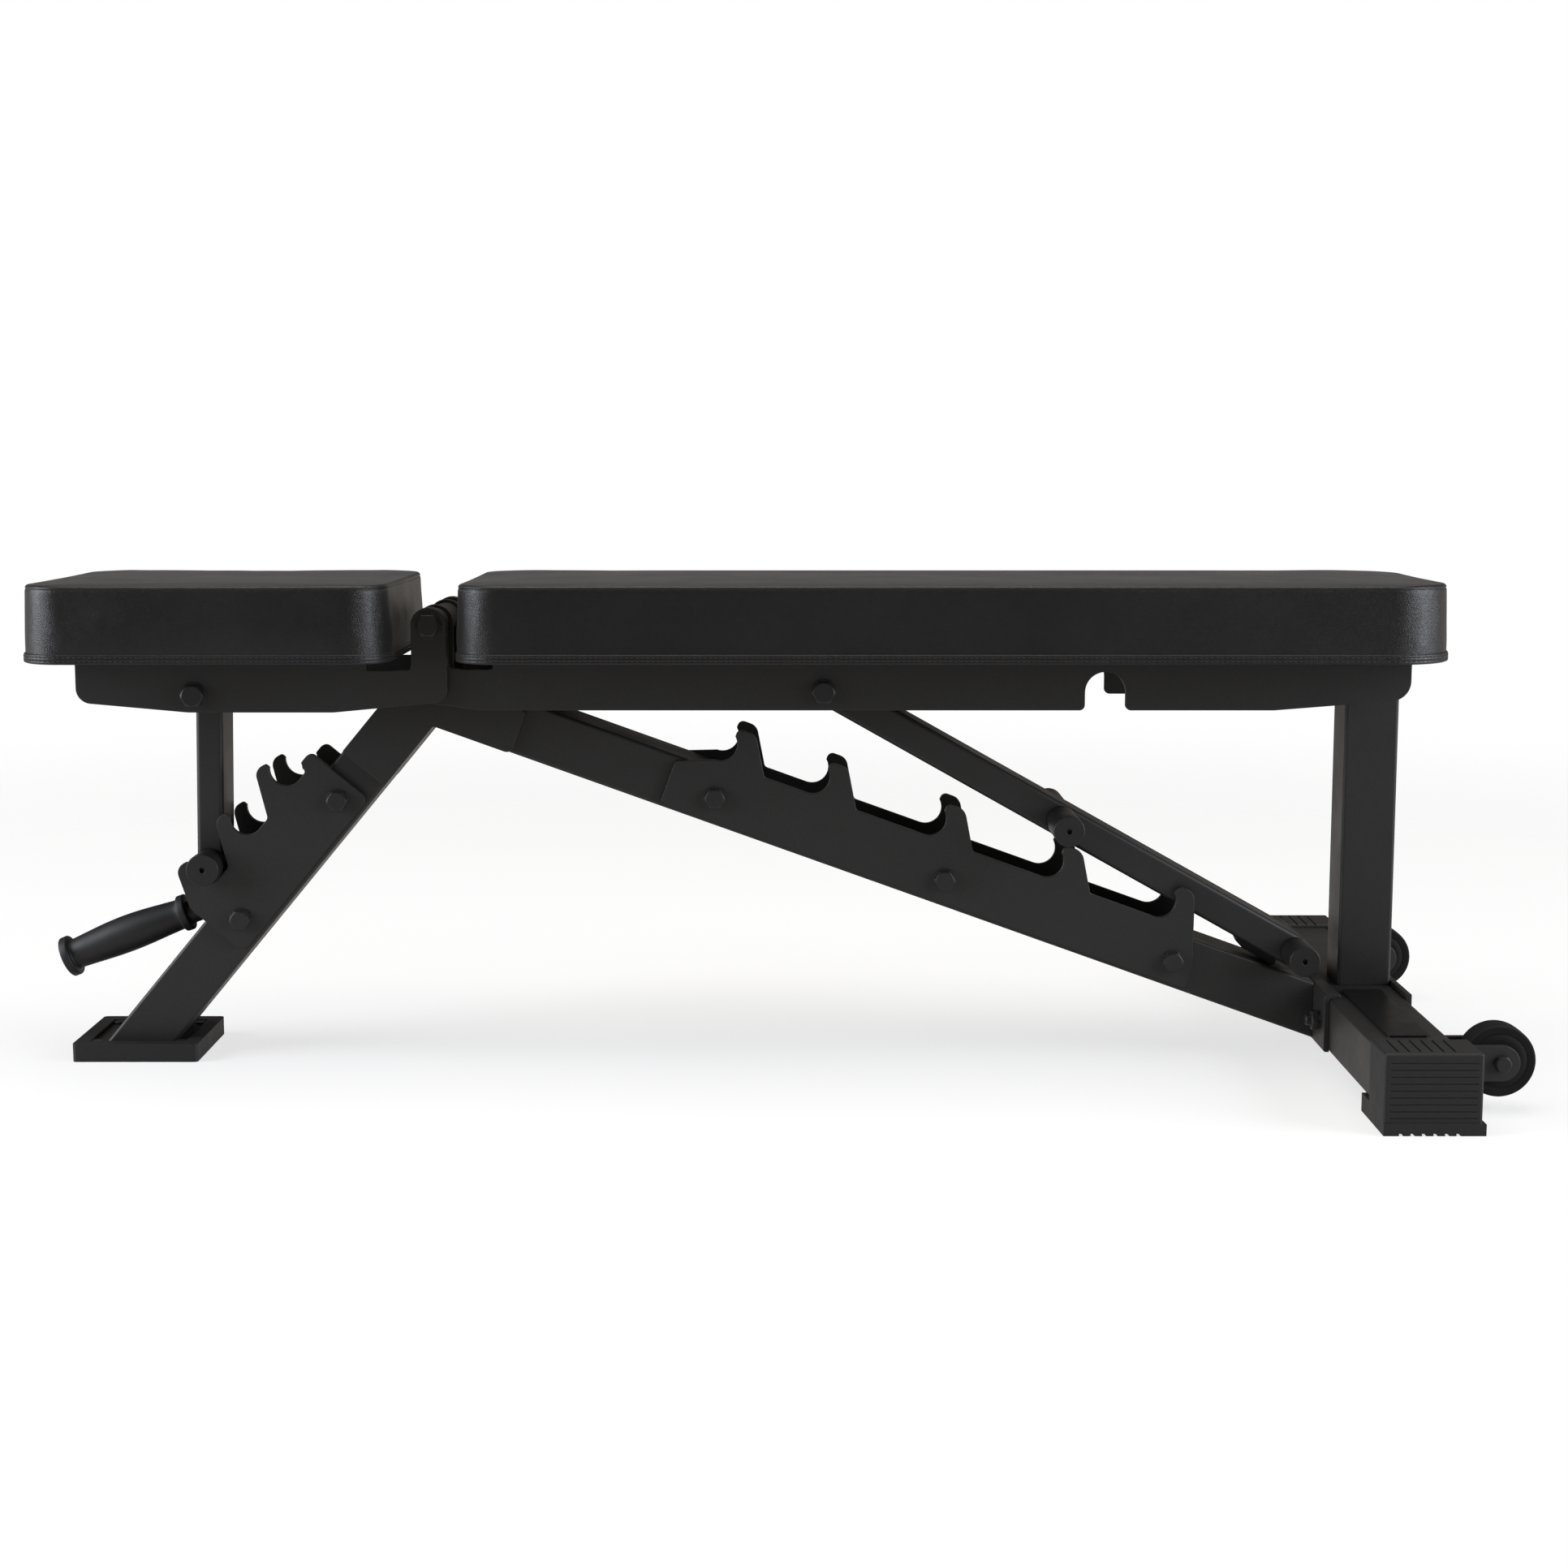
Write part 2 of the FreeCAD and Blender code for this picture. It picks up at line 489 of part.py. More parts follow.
def make_wheel(name, side):
    """Transport wheel in a welded fork behind the cross beam."""
    fork_plate, fork_gap, fork_radius = 5.0, 3.0, 15.6
    flats, head, shoulder, hub_radius = 13.0, 5.3, 4.0, 10.0
    half = WHEEL_WIDTH / 2
    inner, outer = WHEEL_MIDDLE - half - fork_gap, WHEEL_MIDDLE + half + fork_gap
    low, high = WHEEL_CENTRE[1] - fork_radius, WHEEL_CENTRE[1] + fork_radius
    cheek = [(CROSS_REAR, low, 0), (WHEEL_CENTRE[0] + fork_radius, low, fork_radius - CURVE_LIMIT),
             (WHEEL_CENTRE[0] + fork_radius, high, fork_radius - CURVE_LIMIT), (CROSS_REAR, high, 0)]
    web = block(CROSS_REAR, CROSS_REAR + fork_plate, inner, outer, low, high)
    fork = slab(cheek, inner - fork_plate, inner).fuse(slab(cheek, outer, outer + fork_plate))
    fork = fork.fuse(web).removeSplitter()
    fork = fork.cut(rod(WHEEL_CENTRE, WHEEL_BOLT_RADIUS, inner - 2 * fork_plate, outer + 2 * fork_plate))
    axle = rod(WHEEL_CENTRE, WHEEL_BOLT_RADIUS, inner - fork_plate - head, outer + fork_plate + head)
    for face in (inner - fork_plate - head, outer + fork_plate):
        axle = axle.fuse(hexagon(WHEEL_CENTRE, flats, face, face + head))
    axle = axle.removeSplitter()
    tyre = rod(WHEEL_CENTRE, WHEEL_RADIUS, WHEEL_MIDDLE - half, WHEEL_MIDDLE + half)
    tyre = tyre.makeFillet(shoulder, [edge for edge in tyre.Edges if edge.BoundBox.YLength < 0.1])
    hub_reach = half + fork_gap - SIDE_GAP
    hub = rod(WHEEL_CENTRE, hub_radius, WHEEL_MIDDLE - hub_reach, WHEEL_MIDDLE + hub_reach)
    wheel = tyre.fuse(hub).cut(rod(WHEEL_CENTRE, WHEEL_BOLT_RADIUS + RUNNING, inner, outer))
    shapes = {"wheel_fork_": fork, "wheel_axle_": axle, "wheel_": wheel}
    for prefix, shape in shapes.items():
        if side < 0:
            shape = shape.mirror(Vector(0, 0, 0), Vector(0, 1, 0))
        nodes[prefix + name] = shape


# ---- seat and backrest --------------------------------------------------------
def pad_outline(ends, corner_left, corner_right, inset):
    """Plan view corners, drawn in XZ and turned flat later."""
    half = PAD_HALF_WIDTH - inset
    low, high = ends[0] + inset, ends[1] - inset
    return [(low, -half, corner_left - inset), (high, -half, corner_right - inset),
            (high, half, corner_right - inset), (low, half, corner_left - inset)]


def flat_solid(corners, z_low, z_high):
    """Solid with a plan outline given as (x, y, radius)."""
    wire = rounded_wire(corners)
    wire.rotate(Vector(0, 0, 0), Vector(1, 0, 0), -90)
    wire.translate(Vector(0, 0, z_low))
    return Part.Face(wire).extrude(Vector(0, 0, z_high - z_low))


def make_pad(name, ends, corner_left, corner_right, meeting_end):
    """Cushion on its board. The foam that yields when the two pads meet is cut away."""
    cushion = flat_solid(pad_outline(ends, corner_left, corner_right, 0), PAD_LOW, PAD_HIGH)
    rim = [edge for edge in cushion.Edges if edge.BoundBox.ZMin > PAD_HIGH - 0.01]
    cushion = cushion.makeFillet(PAD_EDGE, rim)
    inward = 1 if meeting_end == ends[0] else -1
    low, back = PAD_HIGH - FOAM_YIELD[1], meeting_end + inward * FOAM_YIELD[0]
    bevel = slab([(meeting_end - inward, low, 0), (meeting_end, low, 0), (back, PAD_HIGH, 0),
                  (back, PAD_HIGH + 1, 0), (meeting_end - inward, PAD_HIGH + 1, 0)],
                 -PAD_HALF_WIDTH, PAD_HALF_WIDTH)
    board = flat_solid(pad_outline(ends, corner_left, corner_right, BOARD_INSET), PAD_LOW, PAD_LOW + BOARD)
    nodes[name + "_pad"] = cushion.cut(bevel).cut(board)
    nodes[name + "_board"] = board


def make_mount_plates(name, centres, inner, strip):
    """Cross plates between the side plates, with the screws that hold the board."""
    inset, screw_radius, screw_grip, head_radius, head_height = 22.0, 4.0, 9.0, 7.0, 3.5
    under = PAD_LOW - MOUNT_PLATE
    plates, screws = [], []
    for centre in centres:
        plate = block(centre - strip / 2, centre + strip / 2, -inner, inner, under, PAD_LOW)
        for side in SIDES.values():
            y = side * (inner - inset)
            shank = Part.makeCylinder(screw_radius, MOUNT_PLATE + screw_grip, Vector(centre, y, under))
            head = Part.makeCylinder(head_radius, head_height, Vector(centre, y, under - head_height))
            plate = plate.cut(shank)
            nodes[name + "_board"] = nodes[name + "_board"].cut(shank)
            screws.append(shank.fuse(head))
        plates.append(plate)
    nodes[name + "_mount_plates"] = Part.makeCompound(plates)
    nodes[name + "_board_screws"] = Part.makeCompound(screws)


def make_seat():
    """Seat: its side plates with hinge ears, its pad, and the pivot of its prop."""
    top, low, ear = PAD_LOW, 331.1, EAR_RADIUS
    left = -619.8
    outline = [(left, top, 0), (left, 340.2, 14), (-518.6, low, 30), (-387.1, low, 30),
               (HINGE[0] + ear, 340.8, 12), (HINGE[0] + ear, HINGE[1] + ear, ear - CURVE_LIMIT),
               (HINGE[0] - ear, HINGE[1] + ear, ear - CURVE_LIMIT), (HINGE[0] - ear, 369.1, 5),
               (-356.9, 369.1, 1), (-356.9, top, 0)]
    for name, side in SIDES.items():
        plate = side_slab(outline, SEAT_PLATE_INNER, SIDE_PLATE, side)
        plate = plate.cut(rod(HINGE, MAIN_BOLT_RADIUS + RUNNING, -100, 100))
        nodes["seat_plate_" + name] = plate.cut(rod(SEAT_STRUT_TOP, STRUT_BOLT_RADIUS, -100, 100))
    make_pad("seat", SEAT_PAD, CORNER, CORNER, SEAT_PAD[1])
    make_mount_plates("seat", (-590.0, -420.0), SEAT_PLATE_INNER, 50.0)
    nodes["seat_strut_bolt"] = cross_bolt(SEAT_STRUT_TOP, STRUT_BOLT_RADIUS,
                                          SEAT_PLATE_INNER + SIDE_PLATE, *PIVOT_BOLT_HEAD)
    nodes["seat_strut_spacers"] = spacers(SEAT_STRUT_TOP, SEAT_STRUT_WIDTH / 2 + SIDE_GAP, SEAT_PLATE_INNER)


def make_backrest():
    """Backrest: its side plates with hinge ears and bar arches, its pad, and the pivot of its prop."""
    top, low, ear, right = PAD_LOW, 332.2, EAR_RADIUS, 589.6
    arch, arch_half, arch_top = 312.2, 18.4, 367.2
    outline = [(HINGE[0] - ear, 341.0, 10), (-256.6, low, 20),
               (arch - arch_half, low, 5), (arch - arch_half, arch_top, arch_half - CURVE_LIMIT),
               (arch + arch_half, arch_top, arch_half - CURVE_LIMIT), (arch + arch_half, low, 5),
               (466.0, low, 40), (right, 342.0, 18), (right, top, 0), (-243.4, top, 0),
               (-243.4, 369.4, 1), (HINGE[0] + ear, 369.4, 5),
               (HINGE[0] + ear, HINGE[1] + ear, ear - CURVE_LIMIT),
               (HINGE[0] - ear, HINGE[1] + ear, ear - CURVE_LIMIT)]
    for name, side in SIDES.items():
        plate = side_slab(outline, BACK_PLATE_INNER, SIDE_PLATE, side)
        plate = plate.cut(rod(HINGE, MAIN_BOLT_RADIUS + RUNNING, -100, 100))
        nodes["back_plate_" + name] = plate.cut(rod(BACK_STRUT_TOP, STRUT_BOLT_RADIUS, -100, 100))
    make_pad("back", BACK_PAD, CORNER, HEAD_CORNER, BACK_PAD[0])
    make_mount_plates("back", (-190.0, 200.0, POST_CENTRE - 10), BACK_PLATE_INNER, 60.0)
    nodes["back_strut_bolt"] = cross_bolt(BACK_STRUT_TOP, STRUT_BOLT_RADIUS,
                                          BACK_PLATE_INNER + SIDE_PLATE, *PIVOT_BOLT_HEAD)
    nodes["back_strut_spacers"] = spacers(BACK_STRUT_TOP, BACK_STRUT_WIDTH / 2 + SIDE_GAP, BACK_PLATE_INNER)


def spacers(centre, inner, outer):
    """Pair of tubes that keep a strut in the middle of its pivot bolt."""
    spacer_radius = 10.0
    pair = []
    for side in SIDES.values():
        ends = sorted((side * inner, side * outer))
        tube = rod(centre, spacer_radius, ends[0], ends[1])
        pair.append(tube.cut(rod(centre, STRUT_BOLT_RADIUS, -THROUGH, THROUGH)))
    return Part.makeCompound(pair)


# ---- props --------------------------------------------------------------------
def strut(name, top, angle, length, width, depth, pins):
    """Hollow prop with a pivot bush at its top, coped at its foot to a round bar."""
    wall, corner, bush_radius = 2.5, 4.0, 9.0
    pin_edge, centre_hole, hole_depth = 1.0, 2.6, 6.0
    body = aim(box_tube(length + depth / 2, width, depth, wall, corner),
               along(top, angle, -depth / 2, 0), angle)
    bush = rod(top, bush_radius, -width / 2, width / 2)
    body = body.cut(bush)
    nodes[name + "_bush"] = bush.cut(rod(top, STRUT_BOLT_RADIUS + RUNNING, -THROUGH, THROUGH))
    for pin_name, radius, distance, half_length in pins:
        centre = along(top, angle, distance, 0)
        pin = rod(centre, radius, -half_length, half_length)
        rims = [edge for edge in pin.Edges if edge.BoundBox.YLength < 0.1]
        pin = pin.makeFillet(pin_edge, rims)
        for end in (-half_length - 1, half_length - hole_depth):
            pin = pin.cut(rod(centre, centre_hole, end, end + hole_depth + 1))
        body = body.cut(rod(centre, radius, -THROUGH, THROUGH))
        nodes[pin_name] = pin
    nodes[name] = body


def make_seat_strut():
    """Seat prop, from its pivot to the lowest seat notch."""
    bottom = leg_point(SEAT_NOTCHES[2], SEAT_NOTCH_RISE)
    run, fall = bottom[0] - SEAT_STRUT_TOP[0], bottom[1] - SEAT_STRUT_TOP[1]
    length, angle = math.hypot(run, fall), math.degrees(math.atan2(fall, run))
    strut("seat_strut", SEAT_STRUT_TOP, angle, length, SEAT_STRUT_WIDTH, 25.0,
          [("seat_strut_pin", SEAT_PIN_RADIUS, length, SEAT_PIN_HALF)])


def make_back_strut():
    """Backrest prop, folded down along the beam, with a rubber buffer under its foot."""
    length, depth = BACK_STRUT_LENGTH, 30.0
    strut("back_strut", BACK_STRUT_TOP, -BACK_STRUT_ANGLE, length, BACK_STRUT_WIDTH, depth,
          [("back_strut_pin", BACK_PIN_RADIUS, length, END_PIN_HALF),
           ("back_strut_bar", BACK_PIN_RADIUS, BACK_STRUT_MIDDLE, MIDDLE_BAR_HALF)])
    near, far, half, height, bevel = 53.0, 9.0, 18.0, 7.0, 10.0
    face = -depth / 2
    bumper = slab([(length - near, face, 0), (length - far, face, 0), (length - far, face - height, 2),
                   (length - near + bevel, face - height, 2)], -half, half)
    nodes["back_strut_bumper"] = aim(bumper, BACK_STRUT_TOP, -BACK_STRUT_ANGLE)


# ---- build and export ---------------------------------------------------------
make_tubes()
make_apex_plates()
make_seat_ladder()
make_back_ladder()
make_front_foot()
make_handle()
make_cross_beam()
make_post()
for side_name, side_sign in SIDES.items():
    make_rear_foot(side_name, side_sign)
    make_wheel(side_name, side_sign)
make_seat()
make_backrest()
make_seat_strut()
make_back_strut()

os.makedirs("parts", exist_ok=True)
overall = FreeCAD.BoundBox()
for node_name, node_shape in nodes.items():
    node_shape.exportStep("parts/" + node_name + ".step")
    overall.add(node_shape.BoundBox)
    print("{:24s} solids {} valid {}".format(node_name, len(node_shape.Solids), node_shape.isValid()))
print(len(nodes), "nodes, overall", overall)
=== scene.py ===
"""Looks of the adjustable ladder bench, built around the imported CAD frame.

The steel frame, plates, bolts and feet are the CAD nodes themselves, dressed in their
real finishes. The pads, the hand grip, the wheels and the small trim are built here.
Lengths in the classes are millimetres; meshes are in metres, in the frame of the CAD.
"""
from __future__ import annotations

import json
import logging
import math
import random
from dataclasses import dataclass, field
from enum import Enum
from typing import Any, Callable, Iterable, Optional, Sequence

import bmesh
import bpy
from mathutils import Euler, Matrix, Vector, kdtree

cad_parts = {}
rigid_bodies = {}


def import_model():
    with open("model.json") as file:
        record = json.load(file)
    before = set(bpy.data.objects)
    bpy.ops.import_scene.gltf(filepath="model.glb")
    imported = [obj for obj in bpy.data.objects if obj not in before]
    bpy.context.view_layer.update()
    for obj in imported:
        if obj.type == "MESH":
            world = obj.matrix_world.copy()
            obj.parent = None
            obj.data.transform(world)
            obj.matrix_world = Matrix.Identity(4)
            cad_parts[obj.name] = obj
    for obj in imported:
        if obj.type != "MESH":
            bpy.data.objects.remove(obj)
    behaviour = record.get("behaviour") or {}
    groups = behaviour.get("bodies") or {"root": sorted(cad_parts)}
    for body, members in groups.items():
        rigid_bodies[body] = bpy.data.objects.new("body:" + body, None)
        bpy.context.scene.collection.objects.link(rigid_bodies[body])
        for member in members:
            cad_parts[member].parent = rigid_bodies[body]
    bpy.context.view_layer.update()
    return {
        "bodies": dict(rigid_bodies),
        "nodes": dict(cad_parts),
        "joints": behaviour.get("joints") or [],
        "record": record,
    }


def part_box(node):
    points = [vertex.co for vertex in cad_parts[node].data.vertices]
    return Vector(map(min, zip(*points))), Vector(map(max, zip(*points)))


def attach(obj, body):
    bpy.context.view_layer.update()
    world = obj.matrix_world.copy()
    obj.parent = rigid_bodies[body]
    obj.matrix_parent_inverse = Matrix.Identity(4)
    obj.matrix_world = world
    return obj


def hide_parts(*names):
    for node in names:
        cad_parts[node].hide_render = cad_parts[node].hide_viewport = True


LOG = logging.getLogger("bench")
MM = 0.001
WELD = 0.0004                        # points nearer than this, in metres, are one
SIDES = {"left": -1, "right": 1}


# ---- finishes -----------------------------------------------------------------
def srgb(colour: str, alpha: float = 1.0) -> tuple[float, float, float, float]:
    """Turns an sRGB hex colour to linear.

    Args:
        colour: six hex digits with a leading hash.
        alpha: the fourth value of the result.

    Returns:
        Linear red, green, blue and alpha.
    """
    channels = []
    for start in (1, 3, 5):
        value = int(colour[start:start + 2], 16) / 255
        channels.append(value / 12.92 if value <= 0.04045 else ((value + 0.055) / 1.055) ** 2.4)
    return (channels[0], channels[1], channels[2], alpha)


def add_node(
    tree: bpy.types.NodeTree,
    kind: str,
    settings: Optional[dict[Any, Any]] = None,
    links: Optional[dict[Any, bpy.types.NodeSocket]] = None,
) -> bpy.types.Node:
    """Adds one node with its settings and its incoming links.

    Args:
        tree: the node tree that gets the node.
        kind: the node's type name.
        settings: attribute names, or input names and numbers, to their values.
        links: input names or numbers to the output sockets that feed them.

    Returns:
        The new node.
    """
    node = tree.nodes.new(kind)
    for key, value in (settings or {}).items():
        if isinstance(key, str) and hasattr(node, key):
            setattr(node, key, value)
        else:
            node.inputs[key].default_value = value
    for key, socket in (links or {}).items():
        tree.links.new(socket, node.inputs[key])
    return node


class Surface(Enum):
    """How a surface was made, which sets its fine relief."""

    POWDER = "baked powder, a fine orange peel with specks"
    GRAINED = "embossed vinyl, small pebbles and creases"
    MOULDED = "moulded rubber or plastic, a faint stipple"
    OXIDISED = "machined steel, blackened"
    WOVEN = "woven cloth"
    THREAD = "twisted sewing thread"


@dataclass(frozen=True)
class Finish:
    """One real material and what it gives the eye."""

    name: str
    surface: Surface
    colour: str                      # sRGB
    worn: str                        # sRGB, where it is rubbed or catches dust
    roughness: float
    grain_mm: float                  # size of the main relief
    relief_mm: float                 # its height
    metallic: float = 0.0
    ior: float = 1.5
    edge_mm: float = 0.8             # radius that the edges seem rounded to
    sheen: float = 0.0
    patch_mm: float = 60.0           # size of the slow changes of gloss
    wear: float = 0.35               # how far the edges turn to the worn colour


# Polyester powder coat on steel: satin, a fine orange peel, edges slightly rubbed.
POWDER_COAT = Finish("satin_powder_coat", Surface.POWDER, "#272625", "#403f3d", 0.45, 1.5, 0.035, edge_mm=1.3)
# Black oxide on machined steel: darker and glossier than the paint, with metal under it.
BLACK_OXIDE = Finish("black_oxide_steel", Surface.OXIDISED, "#272727", "#666564", 0.36, 0.8, 0.012,
                     metallic=0.35, edge_mm=0.5, patch_mm=9.0, wear=0.5)
# Round bar with a smooth black coat, polished a little where it rolls in the notches.
BAR_COAT = Finish("coated_round_bar", Surface.OXIDISED, "#1a1a1a", "#444342", 0.42, 1.2, 0.015,
                  edge_mm=0.9, patch_mm=20.0, wear=0.5)
# Upholstery vinyl: an embossed pebble grain under a satin top coat.
VINYL = Finish("grained_vinyl", Surface.GRAINED, "#161515", "#252423", 0.36, 1.7, 0.09, edge_mm=0.6,
               sheen=0.06, patch_mm=90.0, wear=0.1)
# Moulded rubber feet: matt, a faint stipple, a little grey bloom on the edges.
FOOT_RUBBER = Finish("moulded_rubber", Surface.MOULDED, "#181818", "#2f2f2e", 0.62, 1.1, 0.03, ior=1.52,
                     edge_mm=0.9, patch_mm=25.0)
# The grip is a softer rubber with a satin skin.
GRIP_RUBBER = Finish("soft_grip_rubber", Surface.MOULDED, "#1a1a1b", "#2c2c2d", 0.50, 0.9, 0.02, ior=1.52,
                     edge_mm=0.5, patch_mm=18.0, wear=0.2)
# Solid rubber wheel, matt from rolling on floors.
WHEEL_RUBBER = Finish("solid_wheel_rubber", Surface.MOULDED, "#080808", "#1c1c1b", 0.66, 1.4, 0.04, ior=1.38,
                      edge_mm=0.6, patch_mm=14.0, wear=0.5)
# Nylon bushes and washers: smooth injection moulding with a low gloss.
NYLON = Finish("black_nylon", Surface.MOULDED, "#141414", "#252525", 0.48, 0.8, 0.01, ior=1.53, edge_mm=0.4)
# Anodised badge plate: thin, even and finely brushed under the dye.
BADGE = Finish("anodised_plate", Surface.OXIDISED, "#191919", "#4a4948", 0.34, 0.7, 0.01,
               metallic=0.6, edge_mm=0.4, patch_mm=40.0)
# Spun backing cloth stapled under the boards; its threads are drawn 1.6 mm apart so that they show.
BACKING_CLOTH = Finish("backing_cloth", Surface.WOVEN, "#161616", "#242423", 0.85, 1.6, 0.10, sheen=0.2,
                       edge_mm=0.5)
# Bonded polyester thread, a touch glossier than the vinyl.
THREAD = Finish("polyester_thread", Surface.THREAD, "#2b2b2b", "#3c3c3c", 0.48, 0.5, 0.05, edge_mm=0.1)
# Zinc-plated staples.
STAPLE = Finish("zinc_staple", Surface.OXIDISED, "#8d8f90", "#b5b6b6", 0.32, 0.6, 0.01, metallic=0.9,
                edge_mm=0.1)

FINISH_OF_SLOT = {
    "powder_coat": POWDER_COAT,
    "black_oxide": BLACK_OXIDE,
    "pin_coat": BAR_COAT,
    "nylon": NYLON,
    "foot_rubber": FOOT_RUBBER,
    "grip_rubber": GRIP_RUBBER,
    "tyre": WHEEL_RUBBER,
    "badge": BADGE,
    "vinyl": VINYL,
    "board": BACKING_CLOTH,
}


@dataclass
class FinishShop:
    """Builds each finish's material once and puts it on pieces."""

    stock: dict[str, bpy.types.Material] = field(default_factory=dict)

    def material(self, finish: Finish) -> bpy.types.Material:
        """Gives the finish's material, building it at first use.

        Args:
            finish: what the surface is made of.

        Returns:
            The node-based material.
        """
        if finish.name not in self.stock:
            self.stock[finish.name] = self._build(finish)
        return self.stock[finish.name]

    def dress(self, piece: bpy.types.Object, finish: Finish) -> None:
        """Puts a finish on every slot of a piece.

        Args:
            piece: the object to dress.
            finish: its surface.
        """
        material = self.material(finish)
        if not piece.data.materials:
            piece.data.materials.append(material)
        for slot in piece.material_slots:
            slot.material = material

    def _relief(
        self, tree: bpy.types.NodeTree, finish: Finish, place: bpy.types.NodeSocket
    ) -> bpy.types.NodeSocket:
        """Makes the height pattern of a surface.

        Args:
            tree: the material's node tree.
            finish: the surface.
            place: the object coordinates in metres.

        Returns:
            The height, from 0 to about 1.
        """
        cycles = 1.0 / (finish.grain_mm * MM)
        if finish.surface is Surface.GRAINED:
            bend = add_node(tree, "ShaderNodeTexNoise", {"Scale": cycles * 0.5, "Detail": 2.0},
                            {"Vector": place})
            amount = add_node(tree, "ShaderNodeVectorMath", {"operation": "SCALE", "Scale": 0.0016},
                              {0: bend.outputs["Color"]})
            moved = add_node(tree, "ShaderNodeVectorMath", {"operation": "ADD"},
                             {0: place, 1: amount.outputs[0]})
            pebbles = add_node(tree, "ShaderNodeTexVoronoi", {"feature": "DISTANCE_TO_EDGE", "Scale": cycles},
                               {"Vector": moved.outputs[0]})
            domes = add_node(tree, "ShaderNodeMapRange",
                             {"From Max": 0.28, "interpolation_type": "SMOOTHSTEP"},
                             {"Value": pebbles.outputs["Distance"]})
            creases = add_node(tree, "ShaderNodeTexNoise", {"Scale": cycles * 0.16, "Detail": 5.0},
                               {"Vector": place})
            mixed = add_node(tree, "ShaderNodeMath", {"operation": "MULTIPLY_ADD", 1: 0.7},
                             {0: creases.outputs["Fac"], 2: domes.outputs["Result"]})
            return mixed.outputs[0]
        if finish.surface is Surface.WOVEN:
            warp, weft = (add_node(tree, "ShaderNodeTexWave",
                                   {"bands_direction": way, "Scale": cycles / 3.2, "Distortion": 0.6},
                                   {"Vector": place}) for way in ("X", "Y"))
            return add_node(tree, "ShaderNodeMath", {"operation": "MAXIMUM"},
                            {0: warp.outputs["Fac"], 1: weft.outputs["Fac"]}).outputs[0]
        if finish.surface is Surface.POWDER:
            peel = add_node(tree, "ShaderNodeTexNoise", {"Scale": cycles, "Detail": 3.0, "Roughness": 0.55},
                            {"Vector": place})
            specks = add_node(tree, "ShaderNodeTexVoronoi", {"Scale": cycles * 0.8}, {"Vector": place})
            dots = add_node(tree, "ShaderNodeMapRange", {"From Min": 0.32, "From Max": 0.1},
                            {"Value": specks.outputs["Distance"]})
            return add_node(tree, "ShaderNodeMath", {"operation": "MULTIPLY_ADD", 1: 0.35},
                            {0: dots.outputs["Result"], 2: peel.outputs["Fac"]}).outputs[0]
        if finish.surface is Surface.OXIDISED:
            turned = add_node(tree, "ShaderNodeMapping", {"vector_type": "POINT", "Scale": (1.0, 6.0, 1.0)},
                              {"Vector": place})
            return add_node(tree, "ShaderNodeTexNoise", {"Scale": cycles, "Detail": 4.0},
                            {"Vector": turned.outputs[0]}).outputs["Fac"]
        return add_node(tree, "ShaderNodeTexNoise", {"Scale": cycles, "Detail": 6.0, "Roughness": 0.7},
                        {"Vector": place}).outputs["Fac"]

    def _build(self, finish: Finish) -> bpy.types.Material:
        """Builds the node tree of a finish.

        Args:
            finish: the surface.

        Returns:
            The new material.
        """
        material = bpy.data.materials.new(finish.name)
        material.use_nodes = True
        tree = material.node_tree
        tree.nodes.clear()
        place = add_node(tree, "ShaderNodeTexCoord").outputs["Object"]
        height = self._relief(tree, finish, place)
        patches = add_node(tree, "ShaderNodeTexNoise",
                           {"Scale": 1.0 / (finish.patch_mm * MM), "Detail": 4.0, "Roughness": 0.6},
                           {"Vector": place}).outputs["Fac"]
        # Rounded edges, and how far they differ from the flat faces beside them.
        rounded = add_node(tree, "ShaderNodeBevel", {"samples": 6, "Radius": finish.edge_mm * MM})
        flat = add_node(tree, "ShaderNodeNewGeometry")
        same = add_node(tree, "ShaderNodeVectorMath", {"operation": "DOT_PRODUCT"},
                        {0: rounded.outputs["Normal"], 1: flat.outputs["True Normal"]})
        edge = add_node(tree, "ShaderNodeMapRange",
                        {"From Min": 0.97, "From Max": 0.75, "To Max": finish.wear},
                        {"Value": same.outputs["Value"]})
        rubbed = add_node(tree, "ShaderNodeMath", {"operation": "MULTIPLY"},
                          {0: edge.outputs["Result"], 1: patches})
        hollows = add_node(tree, "ShaderNodeMapRange",
                           {"From Min": 0.25, "From Max": 0.75, "To Min": 0.0, "To Max": 0.22},
                           {"Value": height})
        tint = add_node(tree, "ShaderNodeMath", {"operation": "ADD", "use_clamp": True},
                        {0: rubbed.outputs[0], 1: hollows.outputs["Result"]})
        colour = add_node(tree, "ShaderNodeMix",
                          {"data_type": "RGBA", 6: srgb(finish.colour), 7: srgb(finish.worn)},
                          {0: tint.outputs[0]})
        gloss = add_node(tree, "ShaderNodeMapRange",
                         {"From Min": 0.3, "From Max": 0.7, "To Min": finish.roughness - 0.05,
                          "To Max": finish.roughness + 0.07}, {"Value": patches})
        bump = add_node(tree, "ShaderNodeBump", {"Strength": 1.0, "Distance": finish.relief_mm * MM},
                        {"Height": height, "Normal": rounded.outputs["Normal"]})
        body = add_node(tree, "ShaderNodeBsdfPrincipled",
                        {"Metallic": finish.metallic, "Sheen Weight": finish.sheen, "Sheen Roughness": 0.5,
                         "IOR": 1.5 if finish.metallic > 0.5 else finish.ior},
                        {"Base Color": colour.outputs[2], "Roughness": gloss.outputs["Result"],
                         "Normal": bump.outputs["Normal"]})
        add_node(tree, "ShaderNodeOutputMaterial", links={"Surface": body.outputs["BSDF"]})
        return material


